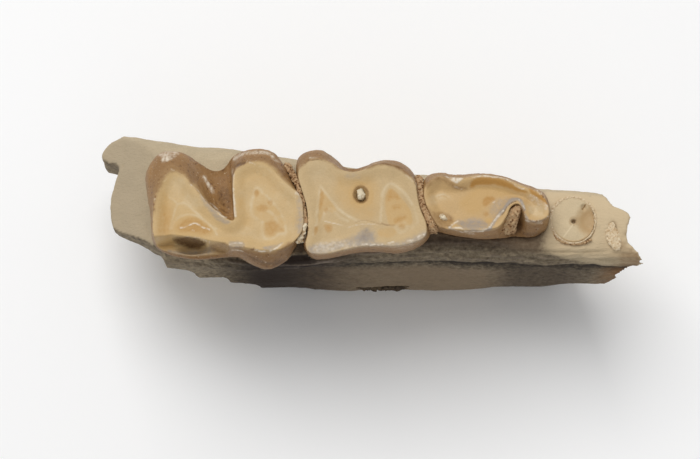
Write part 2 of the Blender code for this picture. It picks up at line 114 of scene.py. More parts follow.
def nearest_on(line: list, loop: np.ndarray) -> np.ndarray:
    """The place on a straight line that is nearest to each point of an outline.

    Args:
        line: the line's two ends.
        loop: the outline's points.

    Returns:
        One place for each point.
    """
    start, end = (np.array(p, float) for p in line)
    share = np.clip(((loop - start) @ (end - start)) / ((end - start) @ (end - start)), 0, 1)
    return start + share[:, None] * (end - start)


def drawn_in(loop: np.ndarray, line: list, distance: float) -> np.ndarray:
    """Moves a closed outline towards a straight line inside it.

    Args:
        loop: the outline's points.
        line: the line's two ends.
        distance: how far each point moves.

    Returns:
        The moved outline.
    """
    inwards = nearest_on(line, loop) - loop
    return loop + inwards / np.linalg.norm(inwards, axis=1, keepdims=True) * distance


def in_parts(points: np.ndarray) -> list[np.ndarray]:
    """Splits points into parts small enough to compare with many others at once."""
    return np.array_split(points, max(1, len(points) // POINTS_AT_ONCE))


def inside(points: np.ndarray, loop: np.ndarray) -> np.ndarray:
    """Whether each point of the plane lies inside a closed outline.

    Args:
        points: the points to test.
        loop: the outline.

    Returns:
        One truth value for each point.
    """
    a, b = loop, np.roll(loop, -1, axis=0)
    rise = np.where(a[:, 1] == b[:, 1], 1e-12, b[:, 1] - a[:, 1])
    found = []
    for part in in_parts(points):
        x, y = part[:, 0:1], part[:, 1:2]
        spans = (a[:, 1] > y) != (b[:, 1] > y)
        crossing = a[:, 0] + (y - a[:, 1]) * (b[:, 0] - a[:, 0]) / rise
        found.append((spans & (x < crossing)).sum(axis=1) % 2 == 1)
    return np.concatenate(found)


def distance_to(points: np.ndarray, line: np.ndarray, closed: bool = True) -> np.ndarray:
    """Distance of each point of the plane from a line of points.

    Args:
        points: the points to measure from.
        line: the line.
        closed: whether the line returns to its start.

    Returns:
        One distance for each point.
    """
    a, b = (line, np.roll(line, -1, axis=0)) if closed else (line[:-1], line[1:])
    edge = b - a
    length = np.maximum((edge**2).sum(-1), 1e-12)
    found = []
    for part in in_parts(points):
        share = ((part[:, None] - a) * edge).sum(-1) / length
        nearest = a + np.clip(share, 0, 1)[..., None] * edge
        found.append(np.linalg.norm(part[:, None] - nearest, axis=-1).min(axis=1))
    return np.concatenate(found)


def smooth_step(value: np.ndarray, low: float, high: float) -> np.ndarray:
    """A smooth rise from 0 at low to 1 at high.

    Args:
        value: the numbers to turn into shares.
        low: where the rise starts.
        high: where it ends.

    Returns:
        One share for each number.
    """
    t = np.clip((np.asarray(value, float) - low) / (high - low), 0, 1)
    return t * t * (3 - 2 * t)


def hollow(points: np.ndarray, pit: Pit) -> np.ndarray:
    """Depth of a round-bottomed pit.

    Args:
        points: places in the plane.
        pit: its x, y, half length, half width and depth.

    Returns:
        The depth at each place.
    """
    x, y, half_length, half_width, depth = pit
    reach = ((points[:, 0] - x) / half_length) ** 2 + ((points[:, 1] - y) / half_width) ** 2
    return depth * np.exp(-(reach**1.5))


def placed(points: np.ndarray) -> np.ndarray:
    """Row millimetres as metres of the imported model."""
    return (np.asarray(points, float) - (0.0, ROW_TO_MIDDLE, 0.0)) * MM


def as_seen(points: np.ndarray) -> np.ndarray:
    """Row millimetres as places on the plane that the strokes are drawn on."""
    up = points[:, 1] * math.sin(LOOK_DOWN) + (points[:, 2] - CHEWING_HEIGHT) * math.cos(LOOK_DOWN)
    return np.stack([points[:, 0], up], axis=1)


def linear(red: int, green: int, blue: int) -> tuple[float, float, float, float]:
    """A display colour, 0 to 255 for each channel, as the shader's linear colour."""
    shares = [v / 255 for v in (red, green, blue)]
    return (*(s / 12.92 if s <= 0.04045 else ((s + 0.055) / 1.055) ** 2.4 for s in shares), 1.0)


class Roughening:
    """Repeatable smooth noise in space."""

    def __init__(self, seed: int) -> None:
        """Draws the noise's table.

        Args:
            seed: the number that the draw starts from.
        """
        draw = np.random.default_rng(seed)
        self.order = draw.permutation(NOISE_SIZE)
        self.table = draw.random(NOISE_SIZE) * 2 - 1

    def at(self, points: np.ndarray, pitch: float | tuple[float, float, float],
           octaves: int = 1) -> np.ndarray:
        """Noise at each point.

        Args:
            points: places in millimetres.
            pitch: distance between bumps, one number or one for each axis.
            octaves: how many finer layers are added.

        Returns:
            Values from about -1 to 1.
        """
        total, weight = np.zeros(len(points)), 0.0
        for octave in range(octaves):
            p = points / np.asarray(pitch, float) * 2**octave + 17.3 * octave
            cell = np.floor(p).astype(int)
            f = p - cell
            f = f * f * (3 - 2 * f)
            for corner in itertools.product((0, 1), repeat=3):
                key = np.zeros(len(points), int)
                for step in (cell + corner).T:
                    key = self.order[(key + step) % NOISE_SIZE]
                total += np.where(corner, f, 1 - f).prod(axis=1) * self.table[key] * 0.5**octave
            weight += 0.5**octave
        return total / weight


# Strokes of stains, enamel, painted highlights and painted shade


class Tint(Enum):
    """The stains, painted highlights and painted shade that the strokes lay on a tooth."""

    IVORY = "ivory"
    GOLD = "gold"
    AMBER = "amber"
    # chalky white enamel, and painted highlights where the worn ridges glint
    CHALK_AND_HIGHLIGHT = "chalk_and_highlight"
    ENAMEL = "enamel"
    GREY = "grey"
    # dark cracks, and painted shade in holes and under the crown's edge
    DARK = "dark"


class Form(Enum):
    """How a stroke is drawn."""

    PATCH = "patch"
    LINE = "line"
    RING = "ring"


@dataclass(frozen=True)
class Mark:
    """One stroke on the plane as seen: its form, tint, softness or width, strength and points."""

    form: Form
    tint: Tint
    width: float
    strength: float
    points: tuple[tuple[float, float], ...]

    def cover(self, at: np.ndarray) -> np.ndarray:
        """How strongly the stroke covers each place.

        Args:
            at: places on the plane as seen.

        Returns:
            Shares from 0 to the stroke's strength.
        """
        cover = np.zeros(len(at))
        if self.form is Form.RING:
            middle, radii = self.points
            away = np.linalg.norm((at - middle) / radii, axis=1)
            return self.strength * smooth_step(np.abs(away - 1) * min(radii), self.width, 0.3 * self.width)
        knots = np.array(self.points)
        low, high = knots.min(axis=0) - 2 * self.width, knots.max(axis=0) + 2 * self.width
        near = ((at > low) & (at < high)).all(axis=1)
        if not near.any():
            return cover
        if self.form is Form.PATCH:
            loop = curve_through(knots, 4)
            depth = distance_to(at[near], loop) * np.where(inside(at[near], loop), 1, -1)
            cover[near] = smooth_step(depth, -self.width, self.width)
        else:
            away = distance_to(at[near], curve_through(knots, 5, closed=False), closed=False)
            spread = IVORY_SPREAD if self.tint is Tint.IVORY else 1.0
            cover[near] = 1 - smooth_step(away, 0.1 * self.width, self.width * spread)
        return cover * self.strength


def patch(tint: Tint, soft: float, strength: float, *points: tuple[float, float]) -> Mark:
    """A filled stroke inside a smooth outline."""
    return Mark(Form.PATCH, tint, soft, strength, points)


def line(tint: Tint, width: float, strength: float, *points: tuple[float, float]) -> Mark:
    """A drawn stroke along a smooth line."""
    return Mark(Form.LINE, tint, width, strength, points)


def ring(tint: Tint, width: float, strength: float, *points: tuple[float, float]) -> Mark:
    """A stroke round an ellipse, given as its middle and its two radii."""
    return Mark(Form.RING, tint, width, strength, points)


SECOND_MOLAR_MARKS = [
    patch(Tint.AMBER, 0.35, 0.4, (-10.3, 0.1), (-9.95, -0.2), (-9.95, -1.2), (-10.45, -1.2)),
    patch(Tint.GOLD, 0.3, 0.6, (-10.41, -0.05), (-10.3, 0.82), (-9.92, 0.38), (-9.75, -0.38),
          (-9.92, -1.26), (-10.52, -1.26)),
    patch(Tint.IVORY, 0.22, 0.5, (-9.92, 1.37), (-9.64, 1.64), (-9.2, 1.53), (-8.71, 0.93),
          (-8.38, 0.27), (-8.82, 0.05), (-9.53, 0.38), (-10.02, 0.82)),
    patch(Tint.GOLD, 0.1, 0.6, (-9.75, -0.71), (-9.42, -0.38), (-8.98, -0.27), (-8.55, -0.38),
          (-8.05, -0.71), (-7.78, -1.04), (-8.05, -1.31), (-8.82, -1.31), (-9.59, -1.26)),
    patch(Tint.AMBER, 0.13, 0.6, (-9.53, -0.77), (-9.04, -0.44), (-8.55, -0.49), (-7.94, -0.93),
          (-8.16, -1.15), (-8.93, -1.09), (-9.48, -1.04)),
    line(Tint.IVORY, 0.07, 0.95, (-9.83, -0.88), (-9.7, -0.55), (-9.37, -0.3), (-8.98, -0.22),
         (-8.6, -0.33), (-8.16, -0.6), (-7.78, -0.93), (-7.62, -1.2)),
    line(Tint.IVORY, 0.07, 0.85, (-9.56, 0.33), (-9.2, 0.33), (-8.82, 0), (-8.44, -0.33), (-8, -0.71),
         (-7.62, -0.93)),
    line(Tint.IVORY, 0.06, 0.8, (-9.56, 0.33), (-9.7, -0.05), (-9.81, -0.49), (-9.92, -0.93)),
    line(Tint.IVORY, 0.06, 0.7, (-9.97, 0.63), (-9.75, 0.47), (-9.56, 0.33)),
    # painted highlight: the bright glint along the worn ridge of the rear lobe
    line(Tint.CHALK_AND_HIGHLIGHT, 0.055, 1, (-9.45, -0.9), (-9.2, -0.85), (-8.98, -0.74), (-8.71, -0.66),
         (-8.55, -0.71), (-8.33, -0.85), (-8, -0.96)),
    line(Tint.CHALK_AND_HIGHLIGHT, 0.05, 0.9, (-8.82, -0.99), (-8.72, -1.01)),
    patch(Tint.ENAMEL, 0.12, 0.8, (-10.85, 2.03), (-10.68, 2.63), (-10.3, 2.74), (-9.75, 2.76),
          (-9.2, 2.46), (-8.82, 2.08), (-8.6, 1.48), (-8.88, 1.26), (-9.2, 1.7), (-9.75, 1.89),
          (-10.19, 1.64), (-10.41, 1.15), (-10.63, 0.6), (-10.71, -0.05), (-10.82, -0.05), (-10.9, 1.15)),
    patch(Tint.CHALK_AND_HIGHLIGHT, 0.07, 0.5, (-10.79, 2.79), (-10.57, 2.96), (-10.02, 3.02), (-9.64, 2.94),
          (-9.56, 2.82), (-9.97, 2.49), (-10.38, 2.41), (-10.46, 2.68)),
    patch(Tint.CHALK_AND_HIGHLIGHT, 0.04, 0.7, (-10.41, 2.55), (-10.19, 2.65), (-10.02, 2.55), (-10.19, 2.41)),
    line(Tint.CHALK_AND_HIGHLIGHT, 0.04, 0.5, (-10.13, 1.86), (-9.97, 2), (-9.75, 1.94)),
    line(Tint.CHALK_AND_HIGHLIGHT, 0.04, 0.4, (-10.24, 1.42), (-10.11, 1.56)),
    line(Tint.CHALK_AND_HIGHLIGHT, 0.035, 0.65, (-8.93, 1.26), (-8.66, 1.04), (-8.38, 0.71), (-8.22, 0.47)),
    patch(Tint.GREY, 0.08, 0.5, (-8.44, 0.71), (-8.05, 0.38), (-7.73, 0.05), (-7.45, -0.27),
          (-6.96, -0.6), (-7.18, -0.71), (-7.62, -0.49), (-7.94, -0.16), (-8.27, 0.27)),
    line(Tint.CHALK_AND_HIGHLIGHT, 0.05, 0.8, (-7.94, 0.33), (-7.62, 0), (-7.4, -0.27), (-7.18, -0.38)),
    line(Tint.CHALK_AND_HIGHLIGHT, 0.11, 1, (-8.33, 1.64), (-8.16, 1.37), (-8, 1.09), (-7.84, 0.9)),
    patch(Tint.DARK, 0.12, 0.45, (-7.51, 1.09), (-7.18, 1.09), (-6.96, 0.6), (-7.01, -0.05), (-7.29, 0.16),
          (-7.67, 0.55)),
    line(Tint.DARK, 0.05, 0.5, (-7.73, 0.38), (-7.4, 0.05), (-7.07, -0.19)),
    patch(Tint.GREY, 0.08, 0.4, (-7.51, 1.04), (-7.23, 1.15), (-7.12, 0.82), (-7.29, 0.55), (-7.45, 0.71)),
    patch(Tint.IVORY, 0.15, 0.35, (-10.68, -0.27), (-10.35, -0.05), (-10.13, -0.71), (-10.19, -1.37),
          (-10.68, -1.42)),
    line(Tint.CHALK_AND_HIGHLIGHT, 0.04, 0.5, (-9.42, -1.3), (-8.82, -1.32), (-8.38, -1.42), (-7.94, -1.56)),
    # the hole in the broken corner: its own dark brown, deepened with painted shade
    patch(Tint.DARK, 0.07, 0.85, (-9.83, -1.45), (-9.42, -1.37), (-8.82, -1.37), (-8.16, -1.64),
          (-8.38, -1.86), (-8.93, -1.97), (-9.26, -1.81), (-9.7, -1.64)),
    patch(Tint.GOLD, 0.15, 0.6, (-10.79, -1.48), (-9.97, -1.37), (-9.75, -1.7), (-9.92, -2.13),
          (-10.52, -1.92)),
    patch(Tint.GREY, 0.12, 0.5, (-10.08, -1.97), (-9.2, -2.03), (-8.38, -1.97), (-7.89, -1.75),
          (-7.73, -2.08), (-8.55, -2.35), (-9.64, -2.35)),
    patch(Tint.ENAMEL, 0.12, 0.7, (-7.94, -1.7), (-7.18, -1.64), (-6.85, -2.03), (-7.18, -2.24),
          (-7.73, -2.08)),
    line(Tint.CHALK_AND_HIGHLIGHT, 0.11, 0.7, (-6.86, 1.94), (-6.85, 1.4), (-6.82, 0.85), (-6.76, 0.25), (-6.71, -0.3)),
    patch(Tint.IVORY, 0.3, 0.3, (-6.64, 1.94), (-6.15, 2.16), (-5.33, 2.05), (-4.51, 1.56), (-3.69, 0.9),
          (-3.41, -0.08), (-3.58, -1.07), (-4.23, -1.51), (-5.88, -1.51), (-6.64, -1.18), (-6.53, -0.08)),
    patch(Tint.GOLD, 0.2, 0.5, (-6.64, 0.57), (-6.15, 0.36), (-5.93, -0.41), (-5.99, -0.96),
          (-6.53, -0.96), (-6.64, -0.3)),
    patch(Tint.GOLD, 0.25, 0.35, (-6.42, 1.78), (-5.6, 1.94), (-4.78, 1.56), (-4.23, 0.9), (-4.67, 0.79),
          (-5.33, 1.29), (-5.99, 1.4), (-6.42, 1.12)),
    patch(Tint.GOLD, 0.07, 0.65, (-5.68, 1.07), (-5.33, 0.74), (-4.89, 0.36), (-4.56, -0.08),
          (-4.34, -0.52), (-4.29, -1.01), (-4.56, -1.12), (-4.89, -1.29), (-5.22, -1.29), (-5.27, -0.63),
          (-5.66, -0.36), (-5.79, 0.14)),
    line(Tint.IVORY, 0.09, 0.65, (-5.68, 1.12), (-5.33, 0.85), (-4.95, 0.47), (-4.62, 0.08),
         (-4.37, -0.36), (-4.23, -0.85), (-4.23, -1.12), (-4.56, -1.18), (-4.84, -1.4), (-5.22, -1.4),
         (-5.38, -1.12), (-5.38, -0.63)),
    line(Tint.IVORY, 0.1, 0.65, (-5.68, 1.12), (-5.85, 0.57), (-5.9, 0.03), (-5.79, -0.41), (-5.55, -0.3),
         (-5.27, -0.03), (-5.05, -0.08), (-4.78, -0.3), (-4.62, -0.57)),
    patch(Tint.AMBER, 0.05, 0.6, (-5.77, 0.9), (-5.63, 1.01), (-5.55, 0.79), (-5.68, 0.63)),
    patch(Tint.AMBER, 0.05, 0.45, (-5.66, 0.14), (-5.33, 0.25), (-5.11, 0.14), (-5.22, -0.08),
          (-5.55, -0.08)),
    patch(Tint.AMBER, 0.05, 0.45, (-5.11, 0.47), (-4.92, 0.52), (-4.86, 0.3), (-5.05, 0.25)),
    patch(Tint.AMBER, 0.1, 0.5, (-5.25, -0.74), (-5.05, -0.57), (-4.78, -0.55), (-4.56, -0.74),
          (-4.32, -1.04), (-4.62, -1.01), (-4.86, -1.2), (-5.11, -1.23), (-5.25, -1.07)),
    patch(Tint.GREY, 0.15, 0.5, (-3.63, 0.85), (-3.36, 0.14), (-3.3, -0.63), (-3.47, -1.18),
          (-3.69, -0.96), (-3.63, -0.08)),
    patch(Tint.CHALK_AND_HIGHLIGHT, 0.04, 0.6, (-3.8, 0.79), (-3.69, 1.01), (-3.52, 1.01), (-3.58, 0.74)),
    line(Tint.CHALK_AND_HIGHLIGHT, 0.03, 0.5, (-3.85, 0.68), (-3.75, 0.63)),
    line(Tint.ENAMEL, 0.05, 0.6, (-4.34, 1.78), (-3.91, 1.29), (-3.58, 0.9), (-3.39, 0.36),
         (-3.28, -0.36)),
    patch(Tint.CHALK_AND_HIGHLIGHT, 0.05, 0.55, (-6.92, 2.55), (-6.64, 2.79), (-6.09, 2.93), (-5.44, 2.93),
          (-4.95, 2.82), (-4.78, 2.6), (-4.56, 2.38), (-4.78, 2.44), (-5.11, 2.71), (-5.66, 2.79),
          (-6.31, 2.74), (-6.75, 2.49)),
    patch(Tint.ENAMEL, 0.08, 0.85, (-6.86, 2.27), (-6.64, 2.55), (-6.15, 2.71), (-5.33, 2.68),
          (-4.89, 2.49), (-4.51, 2.16), (-4.12, 1.78), (-4.34, 1.72), (-4.78, 2.11), (-5.33, 2.38),
          (-5.88, 2.38), (-6.31, 2.24), (-6.7, 2.05), (-6.86, 2)),
    patch(Tint.DARK, 0.04, 0.7, (-6.75, 2.19), (-6.53, 2.35), (-6.2, 2.38), (-6.26, 2.3), (-6.53, 2.19),
          (-6.72, 2.13)),
    line(Tint.CHALK_AND_HIGHLIGHT, 0.035, 0.5, (-6.15, 2.38), (-5.88, 2.33), (-5.74, 2.22)),
    line(Tint.IVORY, 0.04, 0.6, (-5.55, 2.16), (-5.22, 2.08), (-4.95, 1.89)),
    patch(Tint.AMBER, 0.06, 0.8, (-4.84, 2.33), (-4.62, 2.33), (-4.23, 2.11), (-4.18, 1.97),
          (-4.56, 2.11), (-4.78, 2.16)),
    # painted highlight: the wet-looking white glint along the front lobe's lower edge
    line(Tint.CHALK_AND_HIGHLIGHT, 0.06, 0.95, (-5.74, -1.94), (-5.44, -2.03), (-5.11, -2.05), (-4.78, -1.94),
         (-4.56, -1.78), (-4.37, -1.64)),
    patch(Tint.GREY, 0.06, 0.6, (-5.33, -1.83), (-4.67, -1.72), (-4.4, -1.61), (-4.78, -1.92),
          (-5.16, -1.97)),
    patch(Tint.ENAMEL, 0.12, 0.8, (-6.64, -1.89), (-5.88, -2), (-5.16, -2.19), (-4.62, -2),
          (-4.12, -1.61), (-3.69, -1.72), (-3.8, -2.16), (-4.34, -2.55), (-5, -2.82), (-5.66, -2.71),
          (-6.31, -2.38)),
    patch(Tint.DARK, 0.1, 0.5, (-6.04, -2.27), (-5.77, -2.49), (-5.38, -2.71), (-4.67, -2.76),
          (-4.23, -2.49), (-4.45, -2.44), (-5.11, -2.6), (-5.66, -2.38)),
    line(Tint.CHALK_AND_HIGHLIGHT, 0.05, 0.8, (-6.97, -1.67), (-6.7, -1.61), (-6.37, -1.61)),
    line(Tint.CHALK_AND_HIGHLIGHT, 0.05, 0.9, (-6.92, -1.97), (-6.64, -1.97), (-6.34, -2)),
    patch(Tint.GREY, 0.08, 0.6, (-6.97, -1.56), (-6.42, -1.53), (-6.26, -1.72), (-6.42, -1.89),
          (-6.97, -1.89)),
    line(Tint.CHALK_AND_HIGHLIGHT, 0.04, 0.8, (-5.3, -2.52), (-5.22, -2.55)),
]
FIRST_MOLAR_MARKS = [
    patch(Tint.GOLD, 0.3, 0.5, (-1.67, 1.6), (-1.06, 1.54), (-0.07, 1.6), (0.3, 1.17), (0.3, 0),
          (-0.07, -0.49), (-0.81, -0.31), (-1.43, 0.25), (-1.8, 0.86)),
    patch(Tint.IVORY, 0.25, 0.4, (-3.15, 2.22), (-2.54, 2.4), (-1.92, 1.85), (-1.74, 1.35),
          (-2.29, 1.48), (-2.91, 1.35), (-3.15, 1.6)),
    patch(Tint.GOLD, 0.06, 0.55, (-2.48, 1.11), (-2.11, 0.55), (-1.74, 0.06), (-1.86, -0.12),
          (-2.29, -0.06), (-2.6, -0.62), (-2.6, 0.25)),
    patch(Tint.AMBER, 0.05, 0.5, (-2.51, 1.05), (-2.35, 0.8), (-2.41, 0.31), (-2.57, 0), (-2.55, 0.55)),
    patch(Tint.AMBER, 0.04, 0.45, (-2.35, 0), (-2.2, 0.12), (-2.14, 0), (-2.29, -0.18)),
    line(Tint.IVORY, 0.09, 0.85, (-2.51, 1.17), (-2.6, 0.55), (-2.66, -0.12), (-2.69, -0.62),
         (-2.84, -1.23)),
    line(Tint.IVORY, 0.09, 0.85, (-2.51, 1.17), (-2.14, 0.68), (-1.74, 0.18), (-1.24, -0.25),
         (-0.75, -0.49), (-0.32, -0.58)),
    line(Tint.IVORY, 0.08, 0.8, (-2.38, -0.49), (-2.32, -0.12), (-2.11, 0.06), (-1.86, 0),
         (-1.55, -0.37), (-1.18, -0.55)),
    line(Tint.CHALK_AND_HIGHLIGHT, 0.04, 0.75, (-2.29, -0.57), (-1.92, -0.65), (-1.43, -0.74)),
    patch(Tint.AMBER, 0.06, 0.5, (-2.35, -0.74), (-1.92, -0.77), (-1.98, -1.05), (-2.2, -1.11)),
    patch(Tint.AMBER, 0.05, 0.6, (-2.78, -0.83), (-2.6, -0.8), (-2.66, -1.11), (-2.81, -1.23)),
    line(Tint.ENAMEL, 0.035, 0.4, (-0.81, -0.62), (-0.32, -0.49), (0.42, -0.68), (0.91, -0.74)),
    line(Tint.CHALK_AND_HIGHLIGHT, 0.035, 0.5, (-1.18, -0.86), (-0.75, -0.74), (-0.2, -0.68), (0.3, -0.71)),
    ring(Tint.ENAMEL, 0.07, 0.75, (-0.52, 0.77), (0.36, 0.41)),
    ring(Tint.GOLD, 0.2, 0.5, (-0.52, 0.74), (0.5, 0.54)),
    patch(Tint.GOLD, 0.06, 0.7, (0.67, 0.43), (0.79, 0.92), (0.97, 1.05), (1.4, 0.68), (1.83, 0.12),
          (2.02, -0.43), (1.9, -0.74), (1.28, -0.74), (0.91, -0.74), (0.73, -0.25)),
    line(Tint.IVORY, 0.09, 0.7, (0.42, -0.55), (0.48, 0), (0.51, 0.55), (0.67, 1.11), (0.97, 1.29),
         (1.4, 1.05), (1.83, 0.55), (2.14, -0.06), (2.27, -0.62), (2.02, -0.86)),
    patch(Tint.AMBER, 0.1, 0.45, (0.73, 0.62), (0.91, 0.99), (1.16, 0.92), (1.4, 0.55), (1.03, 0.55),
          (0.79, 0.43)),
    patch(Tint.AMBER, 0.1, 0.4, (1.03, 0.25), (1.34, 0.28), (1.4, 0.06), (1.1, 0.03)),
    patch(Tint.AMBER, 0.1, 0.45, (1.16, -0.43), (1.53, -0.25), (1.71, -0.37), (1.4, -0.62), (1.16, -0.62)),
    ring(Tint.IVORY, 0.12, 0.6, (1.5, -0.83), (0.28, 0.25)),
    patch(Tint.AMBER, 0.08, 0.5, (1.34, -0.8), (1.5, -0.71), (1.65, -0.8), (1.53, -0.92)),
    line(Tint.ENAMEL, 0.04, 0.45, (0.48, -0.65), (0.79, -0.74), (1.16, -0.74)),
    patch(Tint.GREY, 0.25, 0.55, (-0.73, -1.4), (-0.49, -0.99), (-0.2, -0.82), (0.09, -1.07),
          (0.17, -1.4), (-0.16, -1.64), (-0.57, -1.64)),
    patch(Tint.DARK, 0.15, 0.16, (-0.6, -1.4), (-0.42, -1.05), (-0.2, -0.9), (-0.1, -1.2), (-0.3, -1.5)),
    patch(Tint.GOLD, 0.1, 0.5, (0.36, -0.99), (0.91, -0.86), (1.28, -1.05), (0.91, -1.35), (0.42, -1.29)),
    patch(Tint.GREY, 0.16, 0.6, (-3.11, -1.81), (-2.37, -1.64), (-1.55, -1.56), (-0.9, -1.27),
          (-0.24, -1.15), (0.42, -1.64), (1.24, -1.6), (2.06, -1.36), (2.8, -0.99), (2.96, -1.27),
          (2.39, -1.72), (1.24, -1.85), (-0.24, -1.85), (-1.14, -1.81), (-1.96, -2.05), (-2.95, -2.26)),
    patch(Tint.CHALK_AND_HIGHLIGHT, 0.16, 0.3, (-2.72, -1.66), (-1.8, -1.48), (-0.94, -1.6), (0.17, -1.72),
          (1.16, -1.72), (1.9, -1.6), (2.64, -1.11), (2.64, -1.35), (1.9, -1.85), (1.03, -1.91),
          (-0.07, -1.85), (-1.06, -1.91), (-1.98, -2.09), (-2.78, -2.09)),
    line(Tint.CHALK_AND_HIGHLIGHT, 0.05, 0.9, (-0.5, -1.72), (-0.2, -1.69)),
    line(Tint.CHALK_AND_HIGHLIGHT, 0.05, 0.9, (-0.07, -1.79), (0.17, -1.72)),
    line(Tint.CHALK_AND_HIGHLIGHT, 0.05, 0.9, (0.3, -1.75), (0.54, -1.69)),
    line(Tint.CHALK_AND_HIGHLIGHT, 0.05, 0.9, (0.79, -1.66), (1.1, -1.57)),
    line(Tint.CHALK_AND_HIGHLIGHT, 0.05, 0.9, (1.77, -1.54), (2.02, -1.51)),
    line(Tint.CHALK_AND_HIGHLIGHT, 0.05, 0.9, (2.27, -1.35), (2.57, -1.23)),
    line(Tint.ENAMEL, 0.11, 0.9, (-3.09, -2.22), (-2.78, -2.31), (-2.04, -2.28), (-1.43, -2.19),
         (-0.87, -2.03), (-0.32, -1.97), (0.3, -2), (0.91, -2.09), (1.53, -2.06), (2.02, -1.88),
         (2.39, -1.66), (2.7, -1.48)),
    patch(Tint.ENAMEL, 0.09, 0.75, (-3.52, 2.65), (-3.28, 2.83), (-2.84, 2.92), (-2.41, 2.86),
          (-2.04, 2.59), (-1.61, 2.28), (-1.37, 2.03), (-1.67, 2.03), (-2.04, 2.34), (-2.6, 2.52),
          (-3.03, 2.46), (-3.34, 2.22), (-3.52, 2.09)),
    line(Tint.DARK, 0.03, 0.5, (-3.34, 2.28), (-3.09, 2.43), (-2.72, 2.48), (-2.41, 2.46)),
    line(Tint.CHALK_AND_HIGHLIGHT, 0.035, 0.7, (-3.06, 2.54), (-2.84, 2.57), (-2.66, 2.57)),
    patch(Tint.ENAMEL, 0.08, 0.9, (-0.44, 2.09), (-0.07, 2.28), (0.42, 2.4), (1.03, 2.4), (1.53, 2.22),
          (1.9, 1.91), (2.14, 1.6), (1.77, 1.72), (1.28, 2.03), (0.79, 2.22), (0.3, 2.22), (-0.14, 2.03)),
    line(Tint.DARK, 0.03, 0.5, (0.3, 2.31), (0.79, 2.28), (1.28, 2.12), (1.53, 2.03)),
    line(Tint.CHALK_AND_HIGHLIGHT, 0.05, 0.5, (1.71, 1.72), (2.02, 1.42)),
    line(Tint.CHALK_AND_HIGHLIGHT, 0.05, 0.5, (2.2, 1.35), (2.28, 0.99)),
    line(Tint.CHALK_AND_HIGHLIGHT, 0.05, 0.5, (2.28, 0.74), (2.39, 0.55)),
    patch(Tint.GREY, 0.18, 0.25, (-1.24, 1.85), (-0.75, 1.85), (-0.57, 1.6), (-0.94, 1.54), (-1.24, 1.66)),
]
